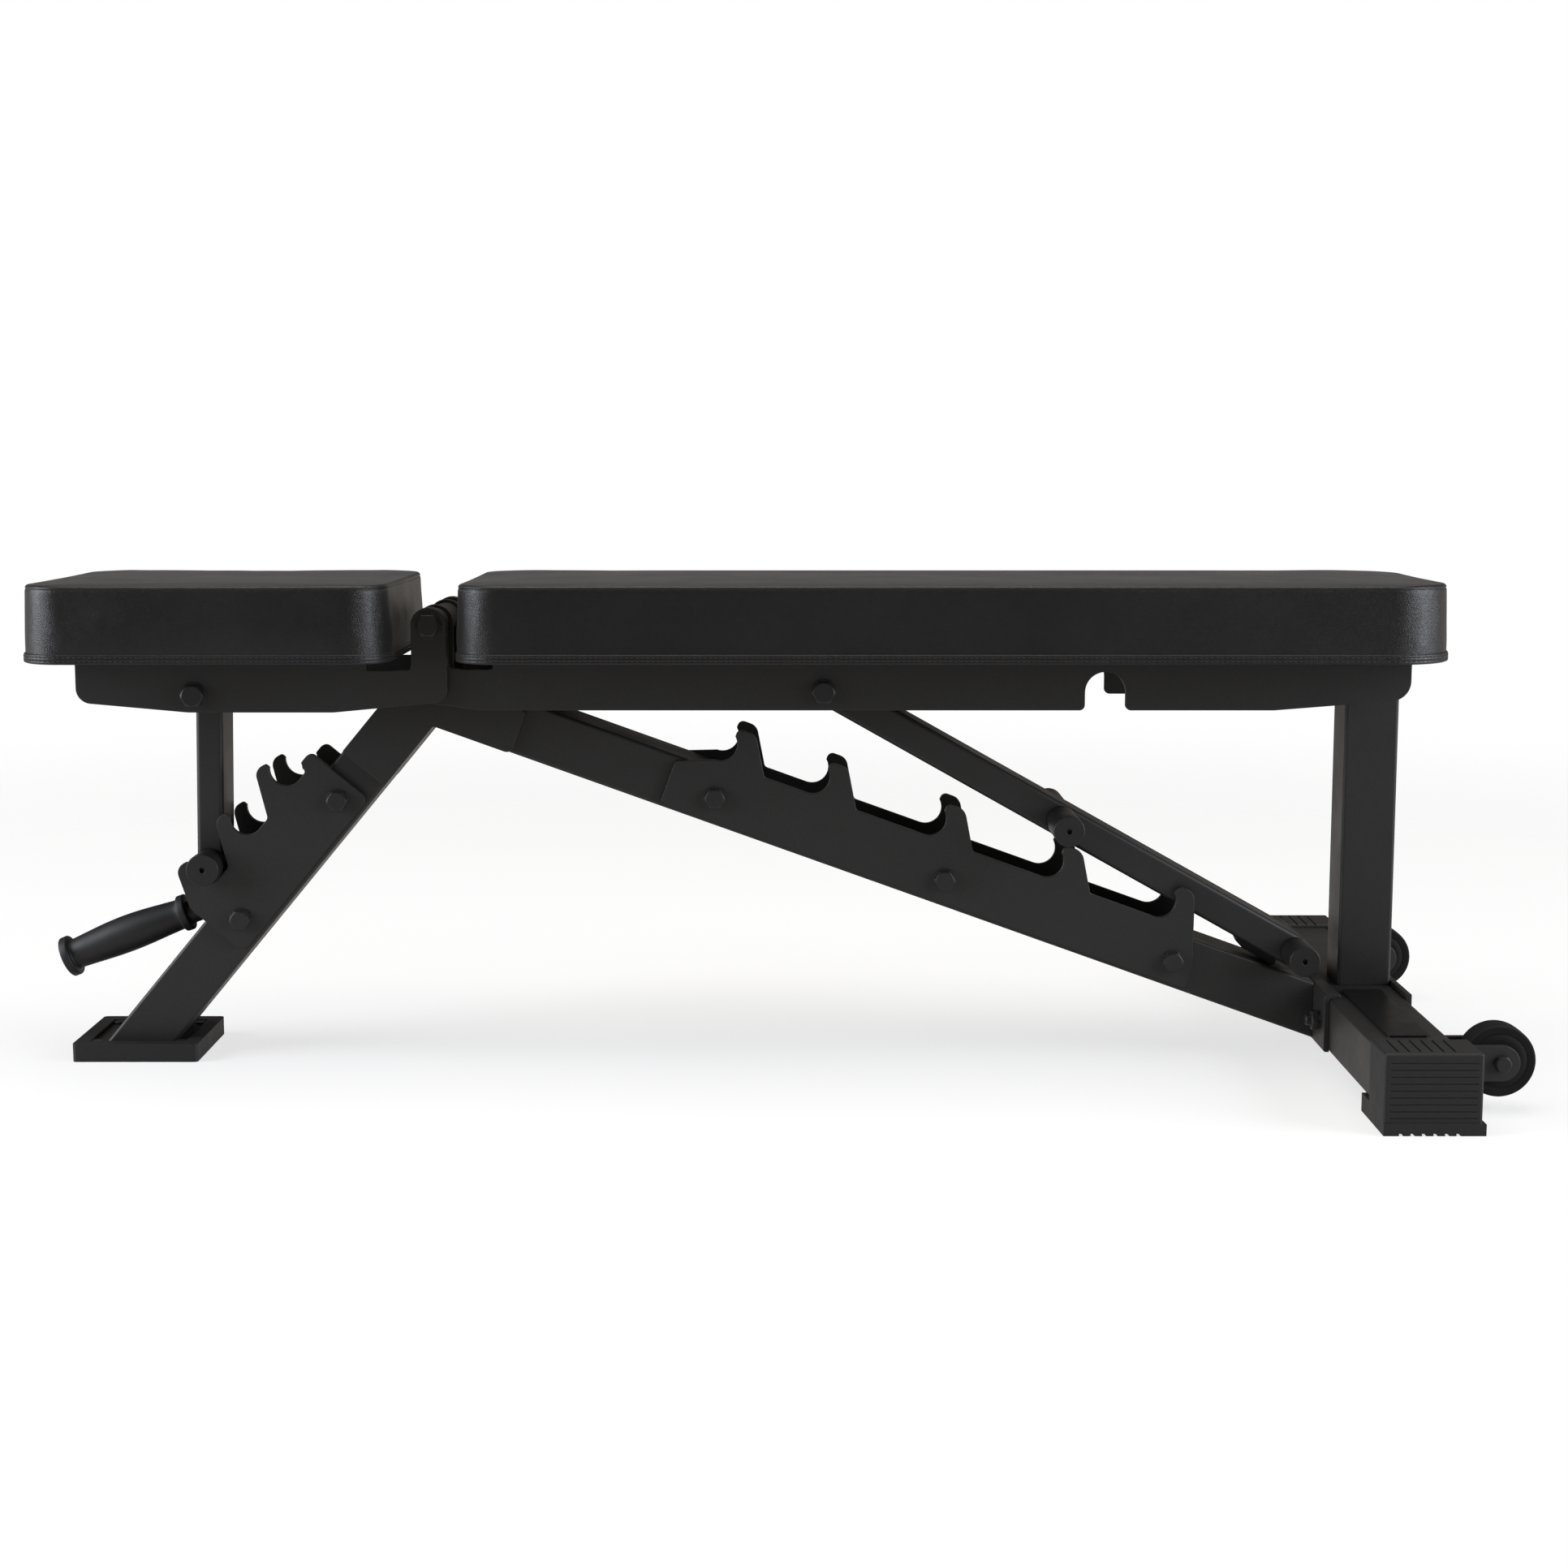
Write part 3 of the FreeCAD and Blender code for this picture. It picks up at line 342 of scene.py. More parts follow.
# ---- mesh helpers -------------------------------------------------------------
def mesh_piece(name: str, mesh: bmesh.types.BMesh, smooth: bool = True) -> bpy.types.Object:
    """Turns a bmesh into a linked object.

    Args:
        name: the piece's name.
        mesh: the bmesh, which is freed.
        smooth: whether its faces are shaded smooth.

    Returns:
        The new object.
    """
    data = bpy.data.meshes.new(name)
    bmesh.ops.recalc_face_normals(mesh, faces=mesh.faces)
    mesh.to_mesh(data)
    mesh.free()
    for face in data.polygons:
        face.use_smooth = smooth
    piece = bpy.data.objects.new(name, data)
    bpy.context.scene.collection.objects.link(piece)
    return piece


def loft(mesh: bmesh.types.BMesh, rings: Sequence[Sequence[Vector]], closed: bool = False) -> list[list[Any]]:
    """Joins rings of equal length with quads.

    Args:
        mesh: the bmesh that gets the faces.
        rings: closed rings of points.
        closed: whether the last ring joins the first one.

    Returns:
        The vertices, ring by ring.
    """
    rows = [[mesh.verts.new(point) for point in ring] for ring in rings]
    count = len(rows[0])
    pairs = list(zip(rows, rows[1:]))
    if closed:
        pairs.append((rows[-1], rows[0]))
    for first, second in pairs:
        for index in range(count):
            after = (index + 1) % count
            mesh.faces.new((first[index], first[after], second[after], second[index]))
    return rows


def turned_piece(
    name: str,
    profile: Sequence[tuple[float, float]],
    place: Callable[[float], tuple[Vector, Vector, Vector]],
    facets: int = 64,
) -> bpy.types.Object:
    """Makes a solid of revolution whose axis may bend.

    Args:
        name: the piece's name.
        profile: distance along the axis and radius, millimetres, ends at radius 0.
        place: gives the axis point and the two directions across it, for a distance.
        facets: how many facets go round.

    Returns:
        The new object.
    """
    mesh = bmesh.new()
    rings = []
    for distance, radius in profile:
        centre, across, over = place(distance)
        ring = []
        for step in range(facets):
            angle = 2 * math.pi * step / facets
            ring.append(centre + (across * math.cos(angle) + over * math.sin(angle)) * radius * MM)
        rings.append(ring)
    loft(mesh, rings)
    bmesh.ops.remove_doubles(mesh, verts=mesh.verts, dist=1e-6)
    return mesh_piece(name, mesh)


def arc_points(
    centre: tuple[float, float], radius: float, start: float, end: float, steps: int
) -> list[tuple[float, float]]:
    """Gives points along an arc in a profile, end points included.

    Args:
        centre: the arc's centre.
        radius: its radius.
        start: the first angle in degrees.
        end: the last angle in degrees.
        steps: how many spans it has.

    Returns:
        The points.
    """
    points = []
    for step in range(steps + 1):
        angle = math.radians(start + (end - start) * step / steps)
        points.append((centre[0] + radius * math.cos(angle), centre[1] + radius * math.sin(angle)))
    return points


# ---- pads ---------------------------------------------------------------------
@dataclass
class Pad:
    """A foam pad on a board: vinyl cover, sewn hem, backing cloth and staples."""

    name: str                        # "seat" or "back"
    body: str
    corner_left: float
    corner_right: float
    hem_height: float = 8.2
    hem_proud: float = 1.0
    edge_radius: float = 3.4         # where the top turns into the sides
    lean: float = 0.9                # how far the walls lean in towards the top
    end_lean: float = 0.5            # and how much more the two ends do
    crown: float = 1.0               # how far the rim lies under the middle of the top
    crease: float = 0.3              # depth of the creases round the corners
    stitch_pitch: float = 4.6
    stitch_length: float = 3.2
    thread_radius: float = 0.45
    wrap_width: float = 24.0         # vinyl turned in under the board
    staple_pitch: float = 28.0
    spacing: float = 4.6             # of points round the outline
    voxel: float = 6.0               # of the cloth that is inflated
    swell_cap: float = 0.9           # most that the cover may move
    pressure: float = 4.0
    frames: int = 20                 # of the simulation
    neighbours: int = 6              # cloth points that move each point of the cover

    def __post_init__(self) -> None:
        """Reads the pad's place from its CAD solid."""
        self.low, self.high = (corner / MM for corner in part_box(self.name + "_pad"))

    def outline(self, inset: float, spacing: Optional[float] = None) -> list[tuple[Vector, Vector]]:
        """Walks round the pad seen from above.

        Args:
            inset: how far inside the pad's edge, millimetres.
            spacing: distance between points; the pad's own if left out.

        Returns:
            Points with their outward directions, in millimetres at height 0.
        """
        pitch = spacing or self.spacing
        low, high, left, right = self.low, self.high, self.corner_left, self.corner_right
        turns = [(high.x, high.y, right), (low.x, high.y, left), (low.x, low.y, left), (high.x, low.y, right)]
        middle = (low + high) / 2
        centres = [Vector((x - math.copysign(radius, x - middle.x), y - math.copysign(radius, y - middle.y), 0))
                   for x, y, radius in turns]
        walk: list[tuple[Vector, Vector]] = []
        for index, (_, _, radius) in enumerate(turns):
            steps = max(3, round(radius * math.pi / 2 / pitch))
            for step in range(steps + 1):
                angle = math.radians(90 * index + 90 * step / steps)
                outward = Vector((math.cos(angle), math.sin(angle), 0))
                walk.append((centres[index] + outward * (radius - inset), outward))
            following = (index + 1) % len(turns)
            angle = math.radians(90 * following)
            outward = Vector((math.cos(angle), math.sin(angle), 0))
            first, last = walk[-1][0], centres[following] + outward * (turns[following][2] - inset)
            spans = max(1, round((last - first).length / pitch))
            walk += [(first.lerp(last, step / spans), outward) for step in range(1, spans)]
        return walk

    def profile(self) -> list[tuple[float, float]]:
        """Gives the cover's section as inset and height, from the hem up to the rim of the top."""
        low, high, radius, lean = self.low.z, self.high.z - self.crown, self.edge_radius, self.lean
        seam = high - radius
        wall = [(0.9, low), (0.6, low + 3), (0.6, low + self.hem_height + 1), (0.3, low + 17),
                (0.25, low + 28),
                (0.35, low + 40), (lean * 0.6, low + 50), (lean * 0.85, seam - 4.0), (lean - 0.1, seam - 1.3),
                (lean + 0.7, seam - 0.5), (lean + 0.7, seam), (lean, seam + 0.6)]
        turn = arc_points((lean + radius, high - radius), radius, 168, 90, 6)
        return wall + turn

    def cover(self) -> bpy.types.Object:
        """Builds the vinyl cover, inflated by a cloth simulation and drawn tight at its corners.

        Returns:
            The cover.
        """
        low, high = self.low.z, self.high.z
        rings = []
        for inset, height in self.profile():
            share = max(0.0, (height - low - 20.0) / (high - low - 20.0))
            ring = []
            for number, (point, outward) in enumerate(self.outline(inset)):
                turning = min(1.0, 2.4 * abs(outward.x * outward.y))
                depth = math.sin(math.pi * min(1.0, share * 1.1)) ** 2
                crease = self.crease * turning * math.sin(number * 1.35) * depth
                shift = self.end_lean * share ** 1.5 * outward.x ** 2 + crease
                ring.append(point - outward * shift + Vector((0, 0, height)))
            rings.append(ring)
        # The top closes over rings that shrink towards the pad's middle line.
        middle_y = (self.low.y + self.high.y) / 2
        reach = (self.high.x - self.low.x) / 2 - (self.high.y - middle_y)
        middle_x = (self.low.x + self.high.x) / 2
        rim = rings[-1]
        spine = [Vector((min(max(p.x, middle_x - reach), middle_x + reach), middle_y, p.z)) for p in rim]
        for part in (0.04, 0.09, 0.16, 0.25, 0.35, 0.46, 0.58, 0.70, 0.82, 0.93, 1.0):
            lift = Vector((0, 0, self.crown * (1 - (1 - part) ** 2.5) * 0.5))
            rings.append([edge.lerp(core, part) + lift for edge, core in zip(rim, spine)])
        # The underside closes the same way.
        floor = [Vector((core.x, core.y, low)) for core in spine]
        rings = [floor, [edge.lerp(core, 0.5) for edge, core in zip(rings[0], floor)]] + rings
        mesh = bmesh.new()
        loft(mesh, [[point * MM for point in ring] for ring in rings])
        bmesh.ops.remove_doubles(mesh, verts=mesh.verts, dist=WELD)
        piece = mesh_piece(self.name + "_cover", mesh)
        self._inflate(piece)
        subdivide(piece)
        return piece

    def _inflate(self, cover: bpy.types.Object) -> None:
        """Lets air pressure swell the cover, and moves its points as the cloth moved.

        Args:
            cover: the drawn cover, whose mesh is changed.
        """
        cloth = bpy.data.objects.new(self.name + "_cloth", cover.data.copy())
        scene = bpy.context.scene
        scene.collection.objects.link(cloth)
        remesh = cloth.modifiers.new("even", "REMESH")
        remesh.mode = "VOXEL"
        remesh.voxel_size = self.voxel * MM
        even = bpy.data.meshes.new_from_object(cloth.evaluated_get(bpy.context.evaluated_depsgraph_get()))
        cloth.modifiers.clear()
        cloth.data = even
        rest = [vertex.co.copy() for vertex in even.vertices]
        pinned = [index for index, point in enumerate(rest) if point.z < (self.low.z + self.hem_height) * MM]
        group = cloth.vertex_groups.new(name="pinned")
        group.add(pinned, 1.0, "REPLACE")
        modifier = cloth.modifiers.new("cloth", "CLOTH")
        settings = modifier.settings
        settings.quality = 5
        settings.mass = 0.4
        settings.tension_stiffness = 40
        settings.compression_stiffness = 40
        settings.bending_stiffness = 8
        settings.use_pressure = True
        settings.uniform_pressure_force = self.pressure
        settings.effector_weights.gravity = 0
        settings.vertex_group_mass = "pinned"
        modifier.collision_settings.use_self_collision = False
        modifier.point_cache.frame_start, modifier.point_cache.frame_end = 1, self.frames
        for frame in range(1, self.frames + 1):
            scene.frame_set(frame)
        moved = cloth.evaluated_get(bpy.context.evaluated_depsgraph_get()).data
        shifts = [after.co - before for after, before in zip(moved.vertices, rest)]
        tree = kdtree.KDTree(len(rest))
        for index, point in enumerate(rest):
            tree.insert(point, index)
        tree.balance()
        cap = self.swell_cap * MM
        for vertex in cover.data.vertices:
            near = tree.find_n(vertex.co, self.neighbours)
            weights = [1.0 / (distance + 0.5 * MM) for _, _, distance in near]
            shift = sum((shifts[index] * weight for (_, index, _), weight in zip(near, weights)), Vector())
            shift /= sum(weights)
            # The cap bends the push over smoothly, so that no flat spot shows.
            length = shift.length
            if length > 0:
                vertex.co += shift / length * cap * math.tanh(length / cap)
        scene.frame_set(1)
        bpy.data.objects.remove(cloth)
        LOG.info("%s cover inflated, %d cloth points", self.name, len(rest))

    def hem(self) -> bpy.types.Object:
        """Builds the sewn hem band round the foot of the cover, puckered between its stitches."""
        low, top, proud = self.low.z, self.low.z + self.hem_height, self.hem_proud
        section = [(1.5, low - 0.2), (-proud * 0.5, low - 0.1), (-proud, low + 0.8),
                   (-proud * 0.95, low + 1.8),
                   (-proud * 0.5, low + 2.4), (-proud * 0.95, low + 3.1), (-proud, low + 4.0),
                   (-proud * 0.95, low + 4.9), (-proud * 0.5, low + 5.6), (-proud * 0.9, low + 6.3),
                   (-proud * 0.75, top - 0.9), (-proud * 0.1, top), (1.5, top + 0.3)]
        walk = self.outline(0.0, self.stitch_pitch / 2)
        rings = []
        for inset, height in section:
            ring = []
            for index, (point, outward) in enumerate(walk):
                pucker = 0.16 if index % 2 else -0.04
                depth = inset + (pucker if inset < 0 else 0.0)
                ring.append((point - outward * depth + Vector((0, 0, height))) * MM)
            rings.append(ring)
        mesh = bmesh.new()
        loft(mesh, rings, closed=True)
        return mesh_piece(self.name + "_hem", mesh)

    def stitches(self) -> bpy.types.Object:
        """Builds the two rows of stitches in the hem as short sunk threads."""
        mesh = bmesh.new()
        sides, radius, half = 6, self.thread_radius, self.stitch_length / 2
        sections = [(-half, 0.35), (-half * 0.75, 0.85), (0.0, 1.0), (half * 0.75, 0.85), (half, 0.35)]
        for height in (self.low.z + 2.4, self.low.z + 5.6):
            for point, outward in self.outline(-self.hem_proud * 0.55, self.stitch_pitch):
                along = Vector((-outward.y, outward.x, 0))
                up = Vector((0, 0, 1))
                rings = []
                for offset, size in sections:
                    sink = 0.35 * (offset / half) ** 2
                    centre = point + along * offset + outward * (0.3 - sink) + up * height
                    ring = []
                    for step in range(sides):
                        angle = 2 * math.pi * step / sides
                        arm = outward * math.cos(angle) + up * math.sin(angle)
                        ring.append((centre + arm * radius * size) * MM)
                    rings.append(ring)
                rows = loft(mesh, rings)
                mesh.faces.new(rows[0])
                mesh.faces.new(rows[-1])
        return mesh_piece(self.name + "_stitches", mesh)

    def wrap(self) -> bpy.types.Object:
        """Builds the vinyl turned in under the board, gathered at the corners."""
        low = self.low.z
        outer = self.outline(1.2)
        widths = [(0.0, 0.1), (0.0, -0.7), (0.35, -0.9), (0.75, -0.8), (1.0, -0.55), (1.0, 0.1)]
        rings = []
        for share, drop in widths:
            ring = []
            for index, (point, outward) in enumerate(outer):
                turning = abs(outward.x) > 0.02 and abs(outward.y) > 0.02
                gather = 0.35 * math.sin(index * 1.9) if turning and 0 < share else 0.0
                inward = point - outward * (self.wrap_width * share)
                ring.append((inward + Vector((0, 0, low + drop - abs(gather)))) * MM)
            rings.append(ring)
        mesh = bmesh.new()
        loft(mesh, rings, closed=True)
        return mesh_piece(self.name + "_wrap", mesh)

    def staples(self) -> bpy.types.Object:
        """Builds the staples that hold the turned-in vinyl, slightly uneven."""
        chance = random.Random(len(self.name))
        mesh = bmesh.new()
        length, wire, height = 9.0, 0.55, self.low.z - 1.25
        for point, outward in self.outline(1.2 + self.wrap_width * 0.72, self.staple_pitch):
            centre = point + Vector((0, 0, height)) + outward * chance.uniform(-1.5, 1.5)
            turn = Matrix.Rotation(chance.uniform(-0.25, 0.25), 3, "Z")
            along = turn @ Vector((-outward.y, outward.x, 0))
            across = turn @ outward
            up = Vector((0, 0, 1))
            # Crown and two legs: a bent wire with a square section.
            half = length / 2
            bends = [(-half, 0.7), (-half, 0.15), (0.4 - half, 0.0),
                     (half - 0.4, 0.0), (half, 0.15), (half, 0.7)]
            rings = []
            for offset, lift in bends:
                core = centre + along * offset + up * lift
                arms = [across * wire + up * wire * 0.5, -across * wire + up * wire * 0.5,
                        -across * wire - up * wire * 0.5, across * wire - up * wire * 0.5]
                rings.append([(core + arm) * MM for arm in arms])
            rows = loft(mesh, rings)
            mesh.faces.new(rows[0])
            mesh.faces.new(rows[-1])
        return mesh_piece(self.name + "_staples", mesh, smooth=False)

    def build(self, shop: FinishShop) -> None:
        """Makes and dresses every piece of the pad.

        Args:
            shop: gives the finishes.
        """
        cover = self.cover()
        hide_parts(self.name + "_pad")
        work = [(cover, VINYL, "vinyl"), (self.hem(), VINYL, "vinyl"), (self.stitches(), THREAD, "vinyl"),
                (self.wrap(), VINYL, "vinyl"), (self.staples(), STAPLE, "black_oxide")]
        for piece, finish, slot in work:
            finish_piece(piece, shop, finish, self.body)


def subdivide(piece: bpy.types.Object, levels: int = 1) -> None:
    """Smooths a piece's mesh by subdivision and keeps the result.

    Args:
        piece: the object whose mesh is replaced.
        levels: how many times it is subdivided.
    """
    modifier = piece.modifiers.new("smooth", "SUBSURF")
    modifier.levels = modifier.render_levels = levels
    data = bpy.data.meshes.new_from_object(piece.evaluated_get(bpy.context.evaluated_depsgraph_get()))
    piece.modifiers.clear()
    piece.data = data
    for face in data.polygons:
        face.use_smooth = True


def finish_piece(piece: bpy.types.Object, shop: FinishShop, finish: Finish, body: str) -> None:
    """Dresses a new piece and puts it on its body.

    Args:
        piece: the new object.
        shop: gives the finish.
        finish: its surface.
        body: the body that carries it.
    """
    shop.dress(piece, finish)
    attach(piece, body)
    LOG.info("%s: %d faces, rides on %s", piece.name, len(piece.data.polygons), body)


# ---- hand grip ----------------------------------------------------------------
@dataclass
class HandGrip:
    """Moulded rubber grip with a collar and an end knob, on a gently drooping bar."""

    body: str = "frame"
    droop: float = 20.8              # below the level, degrees
    collar: float = 17.5
    knob: float = 19.5
    neck: float = 14.4
    belly: float = 17.4
    band: float = 8.0                # width of the collar and the knob
    bow: float = 1.0                 # how far the middle rises over a straight line
    shorter: float = 2.0             # how much the rubber falls short of its CAD stand-in

    def __post_init__(self) -> None:
        """Works out the grip's axis from its CAD solid."""
        low, high = (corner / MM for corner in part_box("handle_grip"))
        slope = math.radians(self.droop)
        self.direction = Vector((-math.cos(slope), 0, -math.sin(slope)))
        self.over = Vector((-math.sin(slope), 0, math.cos(slope)))
        edge = 0.9 * self.knob
        self.tip = Vector((low.x + edge * math.sin(slope), 0, low.z + self.knob * math.cos(slope)))
        self.tip -= self.direction * self.shorter
        self.length = (high.x - self.tip.x - self.collar * math.sin(slope)) / math.cos(slope)
        self.start = self.tip - self.direction * self.length

    def place(self, distance: float) -> tuple[Vector, Vector, Vector]:
        """Gives the bowed axis at a distance from the collar's inner face.

        Args:
            distance: millimetres along the grip.

        Returns:
            The axis point in metres and the two directions across it.
        """
        share = min(max(distance / self.length, 0.0), 1.0)
        rise = self.bow * 4 * share * (1 - share)
        tilt = self.bow * 4 * (1 - 2 * share) / self.length
        along = (self.direction + self.over * tilt).normalized()
        centre = self.start + self.direction * distance + self.over * rise
        over = Vector((along.z, 0, -along.x))
        return centre * MM, Vector((0, 1, 0)), over

    def rubber(self) -> bpy.types.Object:
        """Builds the grip's skin: collar, swelling hold, knob and dished end.

        Returns:
            The grip.
        """
        edge, band, length = 1.7, self.band, self.length
        profile = [(0.0, 0.0), (0.0, 11.0)]
        profile += arc_points((edge, self.collar - edge), edge, 180, 90, 5)
        profile += arc_points((band - edge, self.collar - edge), edge, 90, 0, 5)
        profile.append((band + 0.1, self.neck + 1.2))
        profile += arc_points((band + 1.4, self.neck + 1.3), 1.3, 180, 270, 3)
        hold = length - 2 * band - 3.0
        spans = 30
        for step in range(1, spans):
            share = step / spans
            radius = self.neck + (self.belly - self.neck) * math.sin(math.pi * share) ** 1.3
            profile.append((band + 1.5 + hold * share, radius))
        profile += arc_points((length - band - 1.4, self.neck + 1.3), 1.3, 270, 360, 3)
        profile += arc_points((length - band + edge, self.knob - edge), edge, 180, 90, 5)
        profile += arc_points((length - edge, self.knob - edge), edge, 90, 0, 5)
        profile += [(length, self.knob - 4.6), (length - 0.7, self.knob - 5.4), (length - 0.8, 5.0),
                    (length - 1.4, 4.0), (length - 1.5, 0.0)]
        return turned_piece("hand_grip", profile, self.place, 72)

    def build(self, shop: FinishShop) -> None:
        """Makes and dresses the grip.

        Args:
            shop: gives the finishes.
        """
        grip = self.rubber()
        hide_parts("handle_grip")
        finish_piece(grip, shop, GRIP_RUBBER, self.body)


# ---- wheels -------------------------------------------------------------------
@dataclass
class TransportWheel:
    """Solid rubber wheel: a tread ring on a smooth disc with a hub."""

    side: str
    rim: float = 24.0                # where the tyre meets the disc
    shoulder: float = 1.4
    hub: float = 9.5
    bore: float = 4.1

    def __post_init__(self) -> None:
        """Reads the wheel's centre and size from its CAD solid."""
        low, high = (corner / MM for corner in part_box("wheel_" + self.side))
        self.centre = (low + high) / 2
        self.radius = (high.x - low.x) / 2
        self.hub_half = (high.y - low.y) / 2
        self.half = self.hub_half - 2.65
        self.name = "wheel_" + self.side

    def place(self, distance: float) -> tuple[Vector, Vector, Vector]:
        """Gives the axle point at a distance from the wheel's middle, and two directions across it."""
        return (self.centre + Vector((0, distance, 0))) * MM, Vector((1, 0, 0)), Vector((0, 0, 1))

    def ring(self, name: str, half_section: Sequence[tuple[float, float]], facets: int) -> bpy.types.Object:
        """Turns one closed ring whose two faces are alike.

        Args:
            name: the last part of the piece's name.
            half_section: radius and distance from the middle, along one face.
            facets: how many facets go round.

        Returns:
            The ring.
        """
        section = list(half_section) + [(radius, -distance) for radius, distance in reversed(half_section)]
        angles = [2 * math.pi * step / facets for step in range(facets)]
        mesh = bmesh.new()
        loops = []
        for radius, distance in section:
            centre, across, over = self.place(distance)
            loops.append([centre + (across * math.cos(a) + over * math.sin(a)) * radius * MM for a in angles])
        loft(mesh, loops, closed=True)
        return mesh_piece(self.name + name, mesh)

    def tyre(self) -> bpy.types.Object:
        """Builds the tyre: flat faces, crisp shoulders and a slightly crowned tread."""
        half, top, bend = self.half, self.radius, self.shoulder
        section = [(self.rim - 0.3, half - 4.0), (self.rim - 0.3, half - 0.65), (self.rim, half - 0.5),
                   (self.rim + 1.0, half - 0.4), (top - bend - 2.0, half - 0.1), (top - bend - 0.5, half)]
        section += arc_points((top - bend - 0.2, half - bend), bend, 75, 5, 5)
        section += [(top - 0.1, half - 4.0), (top, half - 8.0)]
        return self.ring("_tyre", section, 96)

    def core(self) -> bpy.types.Object:
        """Builds the core: a slightly dished disc round the hub, bored for the axle."""
        half, hub, end = self.half, self.hub, self.hub_half
        section = [(self.bore, end - 0.5), (self.bore + 0.6, end), (hub - 0.8, end), (hub - 0.1, end - 0.6),
                   (hub + 0.2, half - 0.9), (hub + 1.0, half - 1.2), (self.rim - 6.0, half - 0.85),
                   (self.rim - 0.5, half - 0.55), (self.rim - 0.2, half - 0.8), (self.rim - 0.2, half - 4.5)]
        return self.ring("_core", section, 72)

    def build(self, shop: FinishShop) -> None:
        """Makes and dresses the wheel.

        Args:
            shop: gives the finishes.
        """
        tyre, core = self.tyre(), self.core()
        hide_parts(self.name)
        finish_piece(tyre, shop, WHEEL_RUBBER, self.name)
        finish_piece(core, shop, WHEEL_RUBBER, self.name)


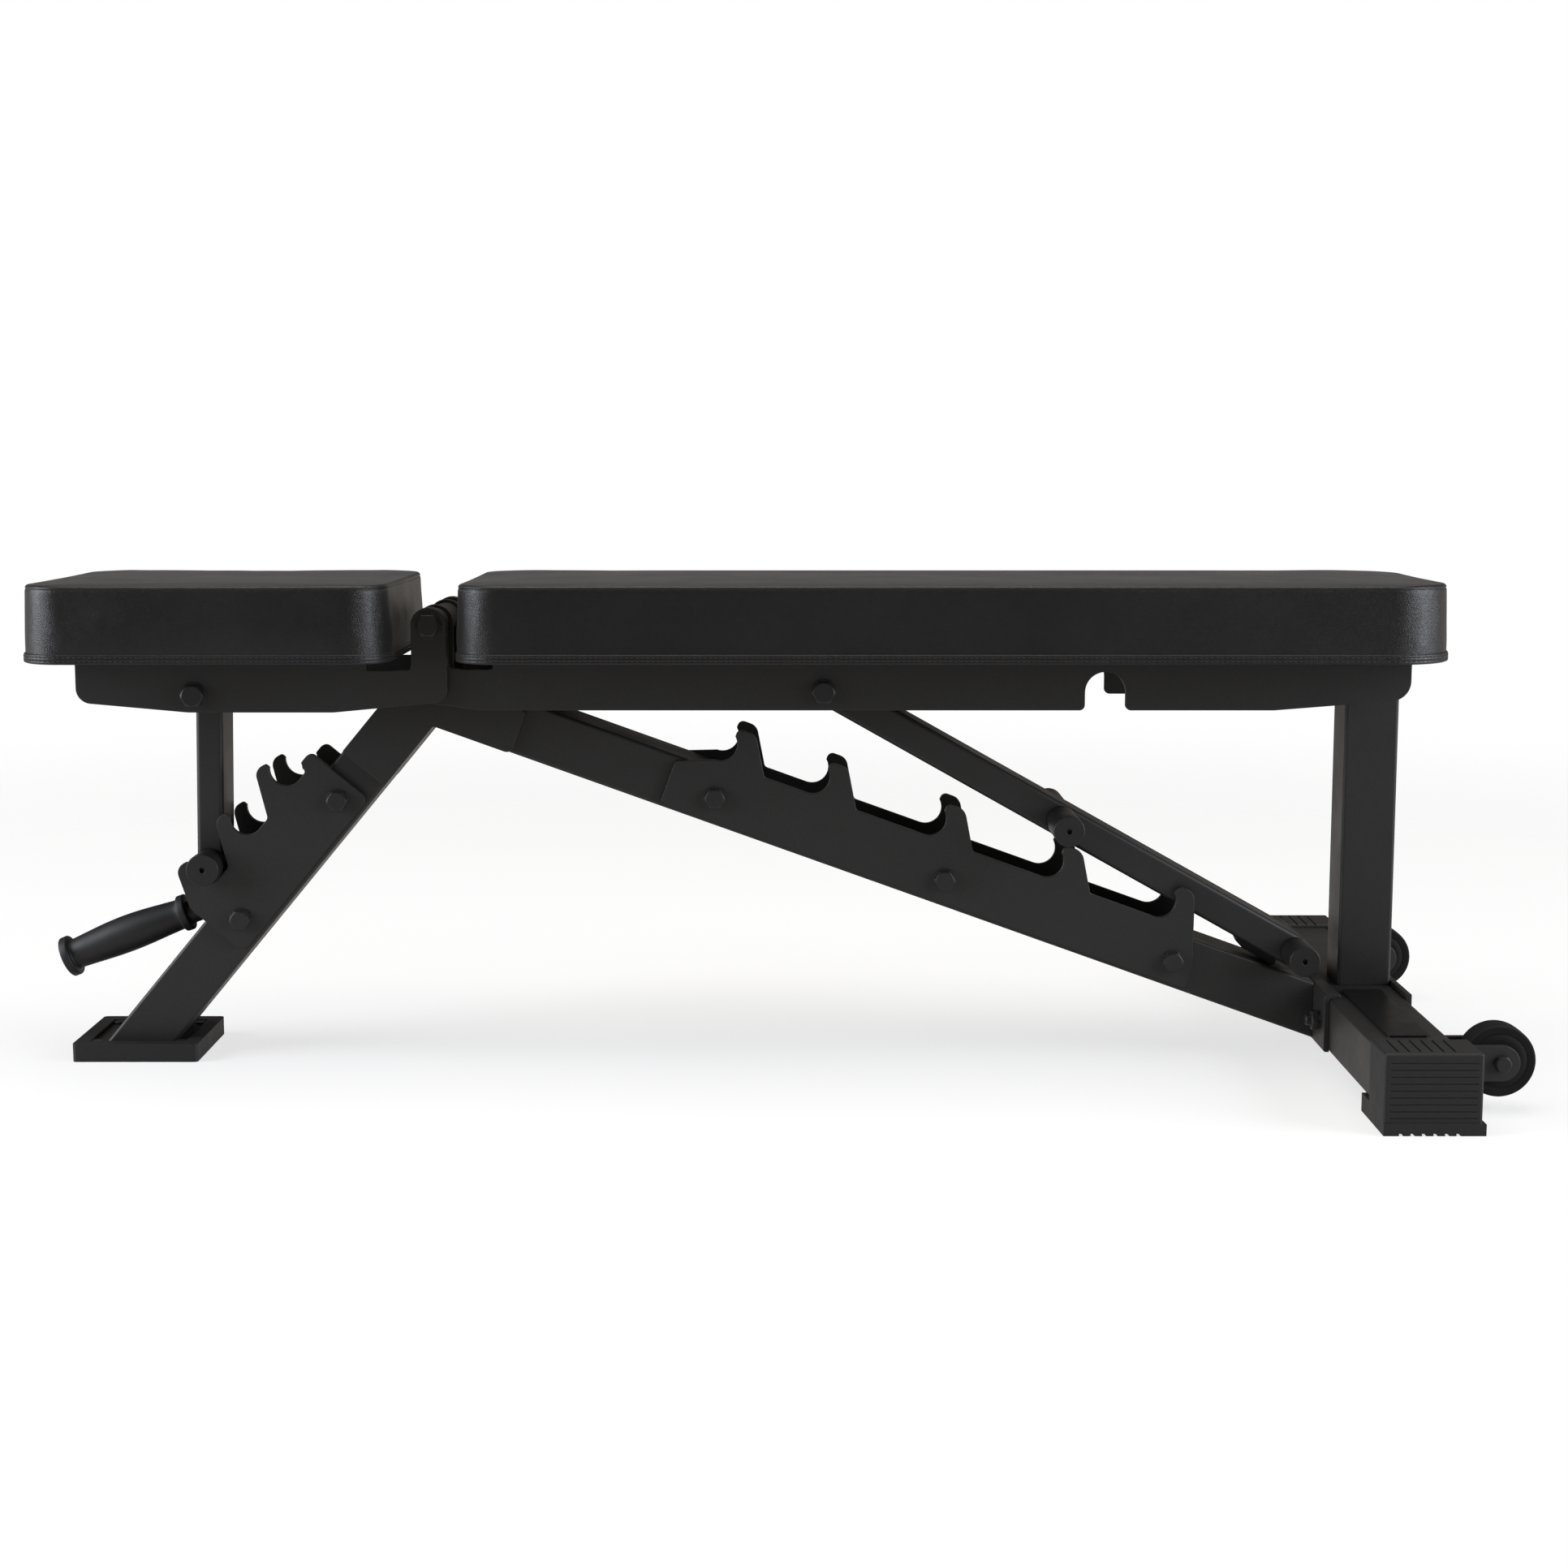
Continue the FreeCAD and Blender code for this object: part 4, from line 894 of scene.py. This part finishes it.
# ---- studio -------------------------------------------------------------------
@dataclass
class Studio:
    """White studio: floor that fades into a white surround, soft lights and the camera."""

    distance: float = 2366.0         # camera in front of the bench's middle plane
    eye_height: float = 575.0
    aside: float = 20.6
    pitch: float = 7.724
    lens: float = 58.12
    floor_clear: float = 0.6         # how much of the surround the floor lets through
    front_glow: float = 0.15
    back_glow: float = 0.38
    ceiling_glow: float = 0.07

    def floor(self) -> bpy.types.Object:
        """Builds the pale floor disc, which fades out far from the bench.

        Returns:
            The floor.
        """
        mesh = bmesh.new()
        bmesh.ops.create_circle(mesh, cap_ends=True, segments=96, radius=7.0)
        disc = mesh_piece("studio_floor", mesh, smooth=False)
        material = bpy.data.materials.new("studio_floor")
        material.use_nodes = True
        tree = material.node_tree
        tree.nodes.clear()
        place = add_node(tree, "ShaderNodeTexCoord").outputs["Object"]
        reach = add_node(tree, "ShaderNodeVectorMath", {"operation": "LENGTH"}, {0: place})
        # The surround shows through even under the bench, which keeps the shadows pale.
        fade = add_node(tree, "ShaderNodeMapRange",
                        {"From Min": 0.9, "From Max": 3.0, "To Min": self.floor_clear, "To Max": 1.0,
                         "interpolation_type": "SMOOTHSTEP"}, {"Value": reach.outputs["Value"]})
        paint = add_node(tree, "ShaderNodeBsdfPrincipled",
                         {"Base Color": srgb("#f4f4f4"), "Roughness": 0.8, "Specular IOR Level": 0.2,
                          "Emission Color": (1, 1, 1, 1), "Emission Strength": 0.23})
        clear = add_node(tree, "ShaderNodeBsdfTransparent")
        both = add_node(tree, "ShaderNodeMixShader", {},
                        {0: fade.outputs["Result"], 1: paint.outputs[0], 2: clear.outputs[0]})
        add_node(tree, "ShaderNodeOutputMaterial", links={"Surface": both.outputs[0]})
        disc.data.materials.append(material)
        return disc

    def surround(self) -> None:
        """Sets the world: plain white to look at, softer and brighter from above as light."""
        world = bpy.data.worlds.new("studio")
        bpy.context.scene.world = world
        world.use_nodes = True
        tree = world.node_tree
        tree.nodes.clear()
        direction = add_node(tree, "ShaderNodeTexCoord").outputs["Generated"]
        parts = add_node(tree, "ShaderNodeSeparateXYZ", {}, {0: direction})
        # As light it is dim: a pale band round the horizon, brighter in front, and a dark ceiling.
        band = add_node(tree, "ShaderNodeMapRange",
                        {"From Min": -0.6, "From Max": 0.6,
                         "To Min": self.front_glow, "To Max": self.back_glow},
                        {"Value": parts.outputs["Y"]})
        fall = add_node(tree, "ShaderNodeMapRange",
                        {"From Min": 0.09, "From Max": 0.22, "interpolation_type": "SMOOTHSTEP"},
                        {"Value": parts.outputs["Z"]})
        total = add_node(tree, "ShaderNodeMix", {"data_type": "FLOAT", 3: self.ceiling_glow},
                         {0: fall.outputs["Result"], 2: band.outputs["Result"]})
        glow = add_node(tree, "ShaderNodeBackground", {"Color": srgb("#fdf2e8")},
                        {"Strength": total.outputs[0]})
        seen = add_node(tree, "ShaderNodeBackground", {"Color": (1, 1, 1, 1), "Strength": 1.0})
        rays = add_node(tree, "ShaderNodeLightPath")
        both = add_node(tree, "ShaderNodeMixShader", {},
                        {0: rays.outputs["Is Camera Ray"], 1: glow.outputs[0], 2: seen.outputs[0]})
        add_node(tree, "ShaderNodeOutputWorld", links={"Surface": both.outputs[0]})

    def lamp(
        self, name: str, place: Sequence[float], size: Sequence[float], watts: float, colour: str
    ) -> None:
        """Hangs one soft box aimed at the bench.

        Args:
            name: the lamp's name.
            place: its position in metres.
            size: its width and height in metres.
            watts: its power.
            colour: its sRGB colour.
        """
        light = bpy.data.lights.new(name, "AREA")
        light.shape = "RECTANGLE"
        light.size, light.size_y = size
        light.energy = watts
        light.color = srgb(colour)[:3]
        holder = bpy.data.objects.new(name, light)
        holder.location = place
        holder.rotation_euler = (Vector((0, 0, 0.25)) - Vector(place)).to_track_quat("-Z", "Y").to_euler()
        holder.visible_camera = False
        bpy.context.scene.collection.objects.link(holder)

    def camera(self) -> None:
        """Sets the camera level with the bench, looking slightly down."""
        data = bpy.data.cameras.new("camera")
        data.lens, data.sensor_width = self.lens, 36.0
        holder = bpy.data.objects.new("camera", data)
        holder.location = Vector((self.aside, -self.distance, self.eye_height)) * MM
        holder.rotation_euler = Euler((math.radians(90 - self.pitch), 0, 0))
        bpy.context.scene.collection.objects.link(holder)
        bpy.context.scene.camera = holder

    def build(self) -> None:
        """Makes the whole studio."""
        self.floor()
        self.surround()
        self.lamp("overhead", (0.0, 0.0, 3.0), (3.0, 2.0), 53.0, "#fff9f2")
        self.lamp("side_right", (3.1, -1.1, 1.2), (2.0, 2.2), 90.0, "#f2f6ff")
        self.lamp("side_left", (-3.2, -0.8, 1.2), (2.0, 2.2), 100.0, "#f2f6ff")
        self.camera()
        bpy.context.scene.view_settings.view_transform = "Standard"


# ---- whole bench --------------------------------------------------------------
def dress_cad_nodes(frame: dict[str, Any], shop: FinishShop) -> None:
    """Gives every CAD node the finish of its material slot.

    Args:
        frame: the loaded frame.
        shop: gives the finishes.
    """
    for part in frame["record"]["subparts"]:
        shop.dress(frame["nodes"][part["node"]], FINISH_OF_SLOT[part["material_slot"]])
    LOG.info("dressed %d CAD nodes", len(frame["nodes"]))


def main() -> None:
    """Builds the bench's looks around the frame."""
    logging.basicConfig(level=logging.INFO, format="%(name)s: %(message)s")
    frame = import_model()
    shop = FinishShop()
    Studio().build()
    dress_cad_nodes(frame, shop)
    Pad("seat", "seat", 40.0, 40.0).build(shop)
    Pad("back", "backrest", 40.0, 60.0).build(shop)
    HandGrip().build(shop)
    for side in SIDES:
        TransportWheel(side).build(shop)


if __name__ == "__main__":
    main()
